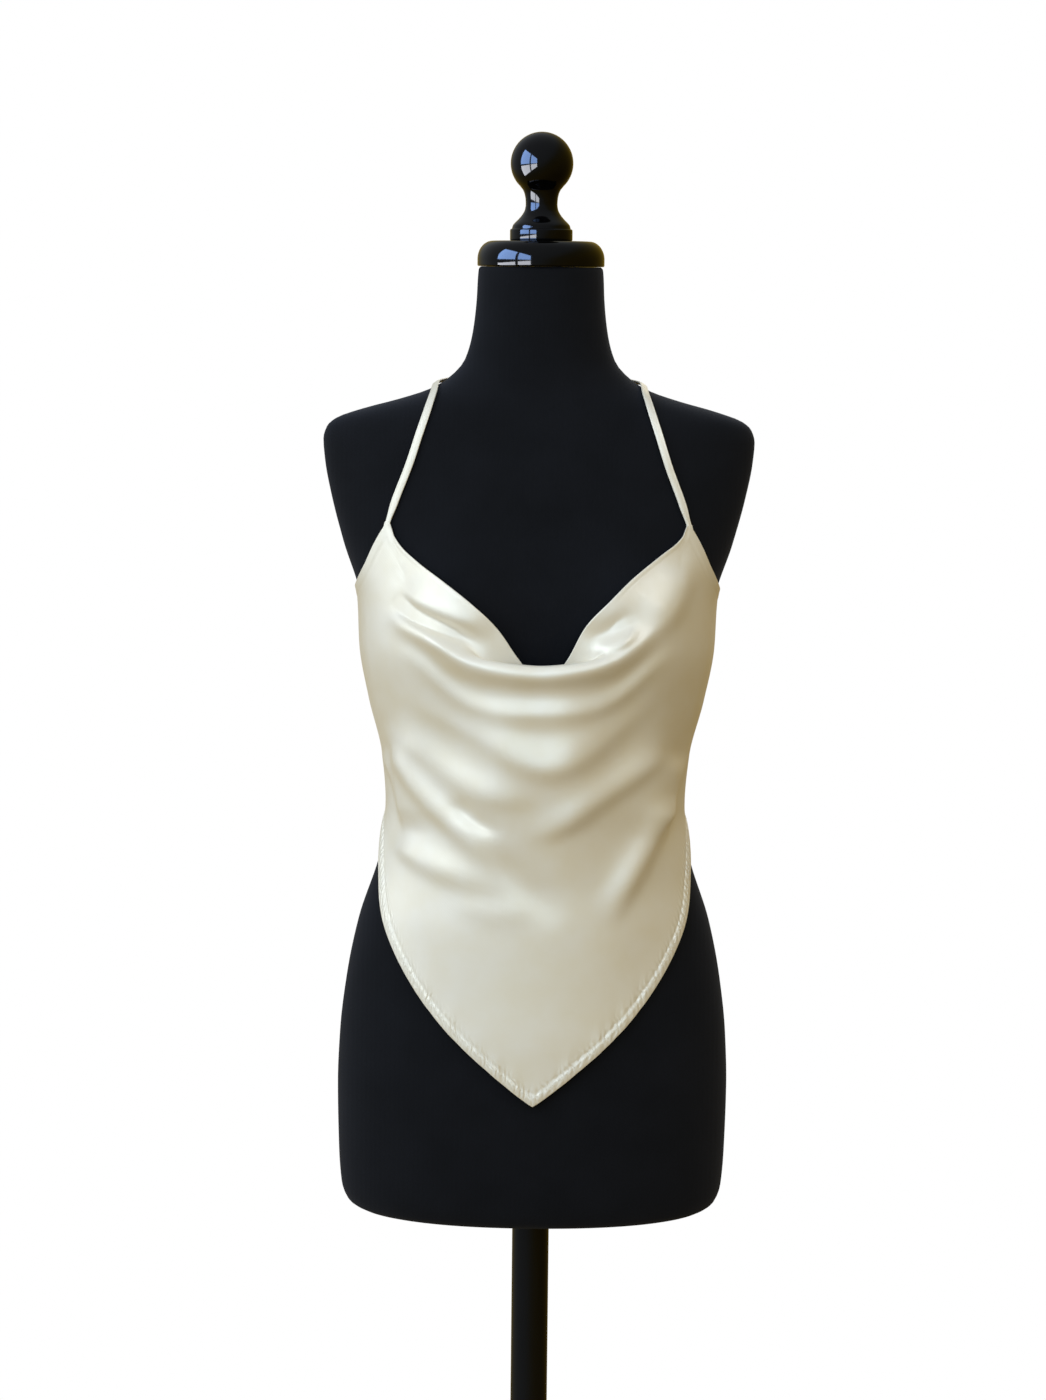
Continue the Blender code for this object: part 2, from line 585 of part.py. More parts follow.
def strap_mesh(name, middle, out):
    """A flat rouleau along middle, with its flat side facing out."""
    along = np.gradient(middle, axis=0)
    along /= np.linalg.norm(along, axis=1, keepdims=True)
    across = np.cross(out, along)
    across /= np.linalg.norm(across, axis=1, keepdims=True)
    up = np.cross(along, across)
    half, thick = STRAP_WIDTH / 2, STRAP_THICKNESS / 2
    section = (
        (-1.0, 0.0), (-0.82, 0.85), (0.0, 1.0), (0.82, 0.85),
        (1.0, 0.0), (0.82, -0.85), (0.0, -1.0), (-0.82, -0.85),
    )
    rows = [
        [m + a * side * half + u * rise * thick for side, rise in section]
        for m, a, u in zip(middle, across, up)
    ]
    return skin_mesh(name, rows, ring=True, capped=True)


def depth_at(x, height, side):
    """The form's y at this x and height, on its front or its back."""
    half_width, front, back = form_size(height)
    share = np.clip(1 - np.abs(x / half_width) ** SQUARENESS, 0.0, 1.0) ** (1 / SQUARENESS)
    if side == "front":
        return -front * share - bust(x, height)
    return back * share if side == "back" else 0.0


def make_neck_strap(finish, home):
    right = np.array([(x, float(depth_at(x, z, side)), z) for x, z, side in NECK_ROUTE])
    left = right[:-1] * (-1, 1, 1)
    route = np.vstack([left, right[::-1]])
    walked = np.r_[0.0, np.cumsum(np.linalg.norm(np.diff(route, axis=0), axis=1))]
    stations = np.linspace(0.0, walked[-1], STRAP_STATIONS)
    middle = np.stack([smooth(walked, route[:, k], stations) for k in range(3)], axis=1)
    half_width, front, back = form_size(middle[:, 2])
    depth = np.where(middle[:, 1] < 0, front, back)
    slope = form_size(middle[:, 2] + 0.002)[0] - form_size(middle[:, 2] - 0.002)[0]
    out = np.stack([
        np.sign(middle[:, 0]) * np.abs(middle[:, 0] / half_width) ** (SQUARENESS - 1) / half_width,
        np.sign(middle[:, 1]) * np.abs(middle[:, 1] / depth) ** (SQUARENESS - 1) / depth,
        -slope / 0.004 / half_width * np.abs(middle[:, 0] / half_width) ** SQUARENESS,
    ], axis=1)
    out /= np.linalg.norm(out, axis=1, keepdims=True)
    middle += out * (STRAP_STAND_OFF + STRAP_THICKNESS / 2)
    return place(strap_mesh("neck_strap", middle, out), "neck_strap", finish, home)


def make_back_strap(finish, home):
    reach = 180.0 - CORNER_ANGLE - 0.25
    angles = np.linspace(180.0 - reach, 180.0 + reach, STRAP_STATIONS // 3)
    heights = np.full(len(angles), BACK_STRAP_HEIGHT)
    out = outward(angles, heights)
    middle = form_point(angles, heights) + out * (STRAP_STAND_OFF + STRAP_THICKNESS / 2)
    return place(strap_mesh("back_strap", middle, out), "back_strap", finish, home)


def main():
    clear_scene()
    home = bpy.data.collections.new("halter_neck_top_on_dress_form")
    bpy.context.scene.collection.children.link(home)
    satin = material("ivory_satin", (0.86, 0.80, 0.66), 0.32, sheen=0.2)
    jersey = material("black_jersey", (0.010, 0.011, 0.014), 0.9)
    gloss = material("gloss_black", (0.004, 0.004, 0.005), 0.08)
    stand = material("black_lacquer", (0.006, 0.006, 0.008), 0.35)
    make_torso(jersey, home)
    make_cap(gloss, home)
    make_finial(gloss, home)
    make_pole(stand, home)
    make_base(stand, home)
    make_panel(satin, home)
    make_neck_strap(satin, home)
    make_back_strap(satin, home)


main()
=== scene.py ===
"""Looks of a satin halter neck top on a limbless dress form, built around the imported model.

Metres, +Z up, the front faces -Y. Places on the form are given by an angle, which goes round from
the centre front (0) by the viewer's right side (90) to the centre back (180), and a height.
"""

import math

import bmesh
import bpy
import numpy as np
from mathutils import Matrix, Vector


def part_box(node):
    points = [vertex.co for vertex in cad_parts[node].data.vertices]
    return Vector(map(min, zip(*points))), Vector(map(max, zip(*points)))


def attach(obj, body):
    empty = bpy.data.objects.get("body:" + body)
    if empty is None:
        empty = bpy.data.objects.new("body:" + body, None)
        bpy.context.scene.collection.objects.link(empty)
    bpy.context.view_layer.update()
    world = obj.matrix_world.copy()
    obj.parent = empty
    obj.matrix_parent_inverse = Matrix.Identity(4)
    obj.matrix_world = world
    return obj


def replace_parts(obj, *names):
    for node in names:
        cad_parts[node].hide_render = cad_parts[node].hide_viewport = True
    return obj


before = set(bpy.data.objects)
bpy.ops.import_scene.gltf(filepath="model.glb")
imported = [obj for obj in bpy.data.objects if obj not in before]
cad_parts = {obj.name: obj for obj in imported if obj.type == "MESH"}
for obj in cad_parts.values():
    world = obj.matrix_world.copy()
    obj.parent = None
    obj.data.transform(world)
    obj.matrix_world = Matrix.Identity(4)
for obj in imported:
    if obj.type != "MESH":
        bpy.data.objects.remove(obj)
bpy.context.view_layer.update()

# ------------------------ the camera's place
CAMERA_AWAY = 3.0            # in front of the pole's axis
CAMERA_HEIGHT = 1.52
CAMERA_ASIDE = -0.0115
CAMERA_DOWN = math.radians(6.8)
CAMERA_ROLL = math.radians(0.6)
CAMERA_LENS = 89.25          # focal length and sensor height in millimetres
SENSOR_HEIGHT = 36.0

# ------------------------ the light and the floor
CHEST = (0.0, -0.1, 1.15)
WAIST = (0.0, 0.0, 1.1)
# Each light's name, place, aim, width, height, power in watts and colour.
LIGHTS = (
    ("soft_left", (-2.2, -1.9, 2.7), CHEST, 2.8, 2.6, 50.0, (0.72, 0.86, 1.0)),
    ("fill_front", (0.1, -3.4, 2.2), CHEST, 2.6, 2.0, 26.0, (0.56, 0.77, 1.0)),
    ("rim_left", (-2.6, 0.1, 1.7), WAIST, 1.2, 1.8, 8.0, (0.84, 0.93, 1.0)),
    ("soft_right", (1.5, -1.7, 3.0), CHEST, 1.2, 1.2, 11.0, (0.92, 0.96, 1.0)),
    ("soft_back", (0.9, 2.9, 2.3), WAIST, 2.4, 2.2, 20.0, (0.93, 0.97, 1.0)),
)

# The window that polished pieces mirror: rows of panes by (low, high, tint), bays by their two ys.
WINDOW_X = -1.05
WINDOW_ROWS = ((0.85, 1.48, (0.80, 0.83, 0.92)), (1.56, 2.45, (0.30, 0.50, 1.0)))
WINDOW_BAYS = ((-0.12, -0.98), (-1.17, -3.10))
WINDOW_GLARE = 42.0

# The room's colour, from the direction away from the bright side to the direction towards it.
BRIGHT_SIDE = (-0.56, -0.30, 0.72)
ROOM_STOPS = (
    (0.02, (0.240, 0.146, 0.020)),
    (0.34, (0.570, 0.388, 0.052)),
    (0.50, (0.560, 0.462, 0.212)),
    (0.66, (0.700, 0.750, 0.780)),
    (0.95, (0.900, 0.960, 1.060)),
)
LIT_ROOM = 0.65              # brightness of the room as light on matt surfaces
MIRRORED_ROOM = 0.70         # and as it shows in glossy ones
FLOOR_RADIUS = 6.0
FLOOR_FADE = (0.45, 1.35)    # how far from the pole the floor starts and ends turning white

# ------------------------ the form
SQUARENESS = 2.2             # exponent of the form's oval sections: 2 is an ellipse
BUST_X = 0.084
BUST_Z = 1.222
BUST_HEIGHT = 0.031
BUST_SPREAD_X = 0.042
BUST_SPREAD_Z = 0.046
FORM_FACETS = 160
RING_STEP = 0.0060

# Oval sections from the hips up: height, half width, front depth and back depth.
FORM_SECTIONS = (
    (0.7120, 0.1420, 0.0780, 0.0880),
    (0.7145, 0.1530, 0.0870, 0.0980),
    (0.7210, 0.1625, 0.0940, 0.1060),
    (0.7350, 0.1675, 0.0980, 0.1110),
    (0.7700, 0.1700, 0.1010, 0.1170),
    (0.8250, 0.1711, 0.1035, 0.1230),
    (0.8700, 0.1693, 0.1030, 0.1230),
    (0.9200, 0.1635, 0.1000, 0.1180),
    (0.9700, 0.1533, 0.0950, 0.1080),
    (1.0200, 0.1368, 0.0860, 0.0950),
    (1.0700, 0.1245, 0.0800, 0.0850),
    (1.1150, 0.1285, 0.0820, 0.0830),
    (1.1650, 0.1415, 0.0860, 0.0870),
    (1.2100, 0.1505, 0.0880, 0.0930),
    (1.2500, 0.1532, 0.0880, 0.0985),
    (1.3000, 0.1683, 0.0810, 0.1010),
    (1.3400, 0.1788, 0.0730, 0.0990),
    (1.3700, 0.1845, 0.0670, 0.0940),
    (1.3880, 0.1860, 0.0625, 0.0890),
    (1.3985, 0.1830, 0.0595, 0.0845),
    (1.4055, 0.1754, 0.0575, 0.0810),
    (1.4140, 0.1521, 0.0550, 0.0765),
    (1.4225, 0.1210, 0.0530, 0.0715),
    (1.4310, 0.0955, 0.0515, 0.0665),
    (1.4400, 0.0797, 0.0505, 0.0625),
    (1.4570, 0.0645, 0.0495, 0.0570),
    (1.4830, 0.0576, 0.0495, 0.0530),
    (1.5080, 0.0549, 0.0500, 0.0510),
    (1.5320, 0.0536, 0.0514, 0.0519),
    (1.5350, 0.0530, 0.0508, 0.0513),
    (1.5365, 0.0514, 0.0492, 0.0497),
)

# The finial's turned neck, from its foot up to the ball: heights above the cap, and radii.
FINIAL_NECK = (
    (0.0105, 0.0251),
    (0.0130, 0.0244),
    (0.0150, 0.0228),
    (0.0180, 0.0198),
    (0.0220, 0.0165),
    (0.0265, 0.0142),
    (0.0310, 0.0136),
    (0.0350, 0.0138),
    (0.0390, 0.0145),
    (0.0425, 0.0158),
    (0.0464, 0.0187),
)

CAP_SHOULDER_REACH = 0.0130  # of the cap's rounded shoulder, in from its edge
CAP_SHOULDER_DROP = 0.0155
CAP_FOOT_EDGE = 0.0012
FINIAL_FOOT_HEIGHT = 0.0100
FINIAL_FOOT_EDGE = 0.0015
BALL_RADIUS = 0.0268
BASE_SOCKET_RADIUS = 0.0260
BASE_EDGE_HEIGHT = 0.0100

# ------------------------ the cloth
CLOTH_THICKNESS = 0.0008
LEAST_STAND_OFF = 0.0018     # of the cloth's middle from the form
TIP_ANGLE = 45.0
TIP_HALF_WIDTH = 1.0
CORNER_ANGLE = 156.0
SIDE_ANGLE = 96.0            # the columns are fine up to here
COLUMN_STEP = 0.82           # degrees
BACK_COLUMN_STEP = 2.0
ROWS_PER_LINE = 9
NECK_ROWS = 15               # between the first two lines
HEM_ROWS = 23                # between the last two
HEM_BAND = 0.0078            # width of the turned hem
NECK_BAND = 0.0030           # width of the neckline's rolled edge
FOLDED_EXTRA = 0.30          # added to half the thickness where an edge is folded, as a share
PUFF_HEIGHT = 0.00045        # of the hem between its edge and its stitches
GROOVE_WIDTH = 0.0012        # of the groove that the stitches pull
GROOVE_DEPTH = 0.00035
TOP_GROOVE_DEPTH = 0.00022   # along the folded edges below the arms
SLACK_HEIGHT = 0.00035       # of the waves along the hem's front, and how wide and long they are
SLACK_REACH = 0.0085
SLACK_STEPS = (0.0290, 0.0170)

# Each stitch is a small tube of four rings: their places as shares of its length, their sizes as
# shares of the thread's radius, and how far they stand above the cloth's face.
STITCH_LINE = 0.0071         # of the hem's stitches, from its edge
STITCHED_SHARES = (0.02, 0.98)
STITCH_STEP = 0.0034
STITCH_LENGTH = 0.0022
THREAD_RADIUS = 0.00022
STITCH_SHAPE = ((-0.5, 0.3, -0.0001), (-0.3, 1.0, 0.0001), (0.3, 1.0, 0.0001), (0.5, 0.3, -0.0001))

# The little gathers that the stitches pull, as a wave along the hem.
HEM_PLACES = "along_and_from_hem"
PUCKER_STEP = 0.0064
PUCKER_SLANT = 420.0         # radians for each metre away from the hem
PUCKER_DRIFT = 16.0          # radians over the whole range of a noise
PUCKER_FADE = ((0.0, 0.15), (0.0035, 0.60), (0.0070, 1.0), (0.0095, 0.35), (0.0140, 0.0))

# One row for each line that runs across the front of the panel, from the neckline down to the hem:
# its heights at LINE_Z_ANGLES, and how far the cloth stands off the form at LINE_OUT_ANGLES.
LINE_Z_ANGLES = (0.0, 10.0, 25.0, 45.0)
LINE_OUT_ANGLES = (*LINE_Z_ANGLES, 65.0)
LINES = (
    ("neckline",      1.196, 1.2265, 1.268, 1.320, 0.0120, 0.0110, 0.0070, 0.0028, 0.0024),
    ("behind_roll",   1.182, 1.197, 1.243, 1.292, 0.0130, 0.0115, 0.0045, 0.0024, 0.0024),
    ("roll_back",     1.194, 1.200, 1.228, 1.268, 0.0220, 0.0185, 0.0050, 0.0024, 0.0024),
    ("roll_crest",    1.207, 1.209, 1.219, 1.250, 0.0305, 0.0270, 0.0095, 0.0026, 0.0024),
    ("roll_front",    1.200, 1.202, 1.212, 1.238, 0.0375, 0.0340, 0.0140, 0.0030, 0.0024),
    ("under_roll",    1.190, 1.192, 1.202, 1.228, 0.0335, 0.0300, 0.0105, 0.0028, 0.0024),
    ("hollow",        1.179, 1.181, 1.192, 1.219, 0.0332, 0.0298, 0.0094, 0.0028, 0.0024),
    ("second_fold",   1.167, 1.169, 1.180, 1.209, 0.0370, 0.0337, 0.0132, 0.0034, 0.0024),
    ("second_valley", 1.152, 1.155, 1.166, 1.192, 0.0364, 0.0332, 0.0128, 0.0036, 0.0024),
    ("bust_low",      1.125, 1.128, 1.140, 1.160, 0.0410, 0.0380, 0.0190, 0.0064, 0.0028),
    ("over_waist",    1.088, 1.091, 1.101, 1.120, 0.0400, 0.0385, 0.0260, 0.0130, 0.0036),
    ("waist",         1.050, 1.053, 1.062, 1.078, 0.0340, 0.0330, 0.0260, 0.0150, 0.0045),
    ("apron_top",     1.008, 1.012, 1.020, 1.044, 0.0230, 0.0225, 0.0190, 0.0120, 0.0045),
    ("apron",         0.945, 0.955, 0.972, 1.007, 0.0130, 0.0130, 0.0120, 0.0080, 0.0045),
    ("apron_low",     0.880, 0.900, 0.930, 0.975, 0.0080, 0.0080, 0.0070, 0.0055, 0.0040),
    ("hem",           0.827, 0.854, 0.893, 0.949, 0.0060, 0.0060, 0.0050, 0.0045, 0.0040),
)

# The panel beyond the tips: angle, heights of its top edge and hem, and how far each stands off.
SIDES = (
    (45.0, 1.3200, 0.9490, 0.0028, 0.0045),
    (63.0, 1.2825, 0.9960, 0.0024, 0.0045),
    (77.0, 1.2670, 1.0310, 0.0022, 0.0050),
    (90.0, 1.2585, 1.0520, 0.0022, 0.0060),
    (105.0, 1.2320, 1.0620, 0.0020, 0.0040),
    (120.0, 1.1880, 1.0680, 0.0018, 0.0022),
    (138.0, 1.1270, 1.0750, 0.0018, 0.0018),
    (156.0, 1.0915, 1.0825, 0.0018, 0.0018),
)

# The neckline between the tips: angles and heights. The V sits a little to the right.
NECKLINE = (
    (-45.0, 1.3195),
    (-43.2, 1.3085),
    (-40.8, 1.2995),
    (-36.6, 1.2900),
    (-28.0, 1.2730),
    (-19.6, 1.2540),
    (-12.2, 1.2350),
    (-5.4, 1.2095),
    (2.0, 1.1880),
    (9.0, 1.2095),
    (14.5, 1.2375),
    (21.0, 1.2570),
    (27.5, 1.2765),
    (36.0, 1.2955),
    (40.5, 1.3035),
    (43.0, 1.3100),
    (45.0, 1.3200),
)

# Folds of their own, seen from the front: ridges, or troughs where the height is negative. Each row
# has the fold's name and height, its widths above and below its spine, the shares of its length over
# which its two ends die away, and the (x, z) points of the spine from the left to the right.
FOLDS = (
    ("bust_swag", 0.0042, 0.019, 0.011, 0.30, 0.30,
     ((-0.129, 1.181), (-0.081, 1.165), (-0.030, 1.140), (0.008, 1.121),
      (0.045, 1.139), (0.080, 1.167), (0.114, 1.191))),
    ("left_swag", 0.0036, 0.015, 0.010, 0.30, 0.35,
     ((-0.129, 1.152), (-0.080, 1.122), (-0.038, 1.096), (0.008, 1.098))),
    ("right_swag", 0.0048, 0.014, 0.009, 0.40, 0.25,
     ((-0.020, 1.060), (0.014, 1.066), (0.037, 1.084), (0.071, 1.108), (0.111, 1.137))),
    ("left_long", 0.0048, 0.013, 0.008, 0.20, 0.35,
     ((-0.130, 1.148), (-0.093, 1.098), (-0.054, 1.056), (-0.022, 1.024))),
    ("left_low", 0.0038, 0.015, 0.008, 0.20, 0.60,
     ((-0.123, 1.045), (-0.084, 1.028), (-0.050, 1.017), (-0.012, 1.013))),
    ("left_lowest", 0.0015, 0.012, 0.008, 0.40, 0.40,
     ((-0.071, 1.002), (-0.037, 0.991), (-0.012, 0.991), (0.009, 0.994))),
    ("right_long", 0.0068, 0.014, 0.009, 0.40, 0.20,
     ((0.055, 0.976), (0.078, 1.023), (0.097, 1.060), (0.112, 1.090))),
    ("left_pocket", -0.0036, 0.008, 0.006, 0.35, 0.45,
     ((-0.066, 1.092), (-0.050, 1.076), (-0.036, 1.066), (-0.020, 1.060))),
    ("middle_valley", -0.0030, 0.014, 0.012, 0.40, 0.40,
     ((-0.044, 1.052), (-0.022, 1.031), (0.002, 1.005), (0.026, 0.981))),
    ("waist_edge_left", 0.0060, 0.024, 0.0045, 0.25, 0.35,
     ((-0.132, 1.120), (-0.117, 1.100), (-0.109, 1.075), (-0.103, 1.050))),
    ("waist_edge_right", 0.0060, 0.024, 0.0045, 0.35, 0.25,
     ((0.100, 1.046), (0.106, 1.069), (0.113, 1.090), (0.126, 1.123))),
    ("left_bust_shade", -0.0020, 0.009, 0.009, 0.40, 0.40,
     ((-0.118, 1.288), (-0.113, 1.272), (-0.108, 1.258), (-0.100, 1.246))),
    ("left_cowl_swell", 0.0058, 0.022, 0.008, 0.35, 0.35,
     ((-0.124, 1.276), (-0.098, 1.258), (-0.070, 1.244), (-0.036, 1.228))),
    ("left_cowl_valley", -0.0062, 0.008, 0.007, 0.30, 0.35,
     ((-0.124, 1.257), (-0.100, 1.241), (-0.072, 1.231), (-0.040, 1.221))),
    ("roll_left_end", 0.0045, 0.006, 0.010, 0.30, 0.45,
     ((-0.126, 1.250), (-0.101, 1.234), (-0.078, 1.226), (-0.050, 1.216))),
    ("right_cowl_swell", 0.0060, 0.024, 0.013, 0.35, 0.40,
     ((0.090, 1.232), (0.107, 1.249), (0.117, 1.270), (0.123, 1.300))),
    ("right_cowl_valley", -0.0050, 0.010, 0.010, 0.35, 0.45,
     ((0.040, 1.222), (0.054, 1.229), (0.070, 1.238), (0.084, 1.248))),
    ("right_lip", 0.0058, 0.007, 0.006, 0.30, 0.45,
     ((0.046, 1.217), (0.062, 1.222), (0.075, 1.230), (0.081, 1.243))),
)

# ------------------------ the straps
STRAP_WIDTH = 0.0066
STRAP_THICKNESS = 0.0018
STRAP_STAND_OFF = 0.0018
STRAP_STATIONS = 260
TIP_SHARE = 0.68             # of the width, where the neck strap joins a tip
FURROW_DEPTH = 0.55          # as a share of half the thickness
FURROW_PLACE = 0.42          # about as shares of half the width
FURROW_WIDTH = 0.13
BACK_STRAP_HEIGHT = 1.0870

# The neck strap's right half from the tip to the nape: x, height and the side of the form it lies on.
NECK_ROUTE = (
    (0.1273, 1.3178, "front"),
    (0.1262, 1.3216, "front"),
    (0.1204, 1.3395, "front"),
    (0.1094, 1.3690, "front"),
    (0.1000, 1.3985, "front"),
    (0.0932, 1.4175, "front"),
    (0.0897, 1.4272, "front"),
    (0.0872, 1.4350, "edge"),
    (0.0800, 1.4362, "back"),
    (0.0620, 1.4385, "back"),
    (0.0340, 1.4425, "back"),
    (0.0000, 1.4450, "back"),
)


# ------------------------ smooth curves through a table
def smooth(knots, values, at):
    """A smooth curve through (knots, values), read at the places in at. It never overshoots a value."""
    knots = np.asarray(knots, float)
    values = np.asarray(values, float)
    at = np.clip(np.asarray(at, float), knots[0], knots[-1])
    steps = np.diff(knots)
    slopes = np.diff(values) / steps
    turn = np.zeros(len(knots))
    same_way = slopes[:-1] * slopes[1:] > 0
    spread = steps[:-1] + steps[1:]
    weight = 1.0 + steps[1:] / spread, 1.0 + steps[:-1] / spread
    safe = np.where(same_way, slopes[:-1], 1.0), np.where(same_way, slopes[1:], 1.0)
    turn[1:-1] = np.where(same_way, 3.0 / (weight[0] / safe[0] + weight[1] / safe[1]), 0.0)
    turn[0], turn[-1] = slopes[0], slopes[-1]
    cell = np.clip(np.searchsorted(knots, at, side="right") - 1, 0, len(steps) - 1)
    width = steps[cell]
    s = (at - knots[cell]) / width
    return (
        (1 + 2 * s) * (1 - s) ** 2 * values[cell]
        + s * (1 - s) ** 2 * width * turn[cell]
        + s * s * (3 - 2 * s) * values[cell + 1]
        + s * s * (s - 1) * width * turn[cell + 1]
    )


def spline(knots, values, at):
    """The natural cubic spline through each column of values over knots, read at the places in at."""
    knots = np.asarray(knots, float)
    values = np.asarray(values, float)
    step = np.diff(knots)
    count = len(knots)
    system = np.eye(count)
    pull = np.zeros_like(values)
    for k in range(1, count - 1):
        system[k, k - 1:k + 2] = step[k - 1], 2 * (step[k - 1] + step[k]), step[k]
        rise = (values[k + 1] - values[k]) / step[k] - (values[k] - values[k - 1]) / step[k - 1]
        pull[k] = 6 * rise
    bend = np.linalg.solve(system, pull)
    cell = np.clip(np.searchsorted(knots, at, side="right") - 1, 0, count - 2)
    shape = (-1,) + (1,) * (values.ndim - 1)
    width = step[cell].reshape(shape)
    b = (np.asarray(at) - knots[cell]).reshape(shape) / width
    a = 1 - b
    curve = (a ** 3 - a) * bend[cell] + (b ** 3 - b) * bend[cell + 1]
    return a * values[cell] + b * values[cell + 1] + curve * width * width / 6


def ease(value, start, end):
    """0 before start, 1 after end, and smooth between them."""
    s = np.clip((value - start) / (end - start), 0.0, 1.0)
    return s * s * (3 - 2 * s)


def unit(vectors):
    """Vectors of length 1 that point the same ways."""
    return vectors / np.linalg.norm(vectors, axis=-1, keepdims=True)


def walk_along(line):
    """How far along a line of points each of them is."""
    return np.r_[0.0, np.cumsum(np.linalg.norm(np.diff(line, axis=0), axis=1))]


def on_line(knots, line, at):
    """The point of a line, whose points lie at these knots, at one place between them."""
    return np.array([np.interp(at, knots, line[:, k]) for k in range(3)])


def arc(centre, radius, start, end, count):
    """Points of an arc in (radius, height), by angle in degrees from +X."""
    turns = np.radians(np.linspace(start, end, count))
    return [(centre[0] + radius * math.cos(a), centre[1] + radius * math.sin(a)) for a in turns]


# ------------------------ the form's surface
def form_size(height):
    """(half width, front depth, back depth) of the form at each height."""
    levels, *sizes = np.transpose(FORM_SECTIONS)
    return [smooth(levels, size, height) for size in sizes]


def bust(x, height):
    """How far the two soft swellings stand forward of the oval section."""
    rise = np.exp(-0.5 * ((height - BUST_Z) / BUST_SPREAD_Z) ** 2)
    sides = [np.exp(-0.5 * ((x - centre) / BUST_SPREAD_X) ** 2) for centre in (-BUST_X, BUST_X)]
    return BUST_HEIGHT * rise * (sides[0] + sides[1])


def form_point(angle, height):
    """Points on the form at these angles, in degrees, and heights."""
    turn = np.radians(angle)
    half_width, front, back = form_size(height)
    depth = np.where(np.cos(turn) > 0, front, back)
    power = 2.0 / SQUARENESS
    x = half_width * np.sign(np.sin(turn)) * np.abs(np.sin(turn)) ** power
    y = -depth * np.sign(np.cos(turn)) * np.abs(np.cos(turn)) ** power
    y = y - bust(x, height) * ease(np.cos(turn), 0.0, 0.35)
    return np.stack([x, y, np.broadcast_to(height, x.shape)], axis=-1)


def outward(angle, height):
    """Directions that point out of the form there, kept nearly level."""
    small_angle, small_rise = 0.5, 0.001
    along = form_point(angle + small_angle, height) - form_point(angle - small_angle, height)
    up = form_point(angle, height + small_rise) - form_point(angle, height - small_rise)
    normal = np.cross(along, up)
    normal[..., 2] *= 0.5
    return unit(normal)


def depth_at(x, height, side):
    """The form's y at this x and height, on its front or its back."""
    half_width, front, back = form_size(height)
    share = np.clip(1 - np.abs(x / half_width) ** SQUARENESS, 0.0, 1.0) ** (1 / SQUARENESS)
    if side == "front":
        return -front * share - bust(x, height)
    return back * share if side == "back" else 0.0


# ------------------------ the panel's surface
def both_sides(knots, values):
    """Knots and values from the centre outward, repeated in mirror image on the other side."""
    return np.r_[-knots[:0:-1], knots], np.concatenate([values[:0:-1], values])


def panel_lines(angles):
    """Heights and stand-offs of every line at these angles, all the way round to the corners."""
    side_angle, top, hem, out_top, out_hem = np.transpose(SIDES)
    numbers = np.transpose([row[1:] for row in LINES])
    front_z, front_out = numbers[:len(LINE_Z_ANGLES)], numbers[len(LINE_Z_ANGLES):]
    tip_z = front_z[-1]
    share = (tip_z - tip_z[-1]) / (tip_z[0] - tip_z[-1])
    side_z = [h + share * (t - h) for t, h in zip(top[1:], hem[1:])]
    z_knots, z_values = np.r_[LINE_Z_ANGLES, side_angle[1:]], np.array([*front_z, *side_z])
    z = spline(*both_sides(z_knots, z_values), angles)
    side_out = [h + share * (t - h) for t, h in zip(out_top[2:], out_hem[2:])]
    out_knots, out_values = np.r_[LINE_OUT_ANGLES, side_angle[2:]], np.array([*front_out, *side_out])
    out = spline(*both_sides(out_knots, out_values), angles)
    reach = np.abs(angles)
    point = spline(z_knots, z_values[:, -1], reach) - z[:, -1]
    on_tip = np.abs(reach - TIP_ANGLE) < TIP_HALF_WIDTH * 1.01
    inside = smooth(*np.transpose(NECKLINE), np.clip(angles, -TIP_ANGLE, TIP_ANGLE))
    outside = smooth(side_angle, top, np.maximum(reach, TIP_ANGLE))
    peak = np.where(reach <= TIP_ANGLE, inside, outside)
    peak = np.where(on_tip, top[0], peak) - z[:, 0]
    number = np.arange(len(LINES))
    neck_reach, hem_reach = 1.6, 0.9
    z = z + peak[:, None] * np.exp(-((number / neck_reach) ** 2))
    z = z + point[:, None] * np.exp(-(((number[-1] - number) / hem_reach) ** 2))
    return z.T, out.T


def nearest_on_spine(x, z, spine_x, spine_z):
    """(distance, place from 0 to 1, side) of the spine's nearest point. side is + above the spine."""
    best = np.full(x.shape, np.inf)
    along = np.zeros(x.shape)
    side = np.zeros(x.shape)
    pieces = len(spine_x) - 1
    for k in range(pieces):
        run_x, run_z = spine_x[k + 1] - spine_x[k], spine_z[k + 1] - spine_z[k]
        off_x, off_z = x - spine_x[k], z - spine_z[k]
        s = np.clip((off_x * run_x + off_z * run_z) / (run_x * run_x + run_z * run_z), 0.0, 1.0)
        away = np.hypot(off_x - s * run_x, off_z - s * run_z)
        closer = away < best
        best = np.where(closer, away, best)
        along = np.where(closer, (k + s) / pieces, along)
        side = np.where(closer, np.sign(run_x * off_z - run_z * off_x), side)
    return best, along, side


def fold_relief(x, z):
    """How far the folds of their own move the cloth out at each place seen from the front."""
    total = np.zeros_like(x)
    for _, height, above, below, fade_in, fade_out, spine in FOLDS:
        points = np.array(spine)
        walked = walk_along(points)
        drawn = spline(walked, points, np.linspace(0.0, walked[-1], 33))
        away, place_on, side = nearest_on_spine(x, z, drawn[:, 0], drawn[:, 1])
        width = np.where(side < 0, below, above)
        fade = ease(place_on, 0.0, fade_in) * ease(1.0 - place_on, 0.0, fade_out)
        total += height * fade * np.exp(-((away / width) ** 2))
    return total


def panel_rows():
    """Places of the rows among the lines, closer together by the two edges."""
    last = len(LINES) - 1
    top = np.linspace(0.0, 1.0, NECK_ROWS) ** 1.35
    middle = np.linspace(1.0, last - 1.0, (last - 2) * ROWS_PER_LINE + 1)
    low = last - np.linspace(1.0, 0.0, HEM_ROWS) ** 1.6
    return np.concatenate([top[:-1], middle[:-1], low])


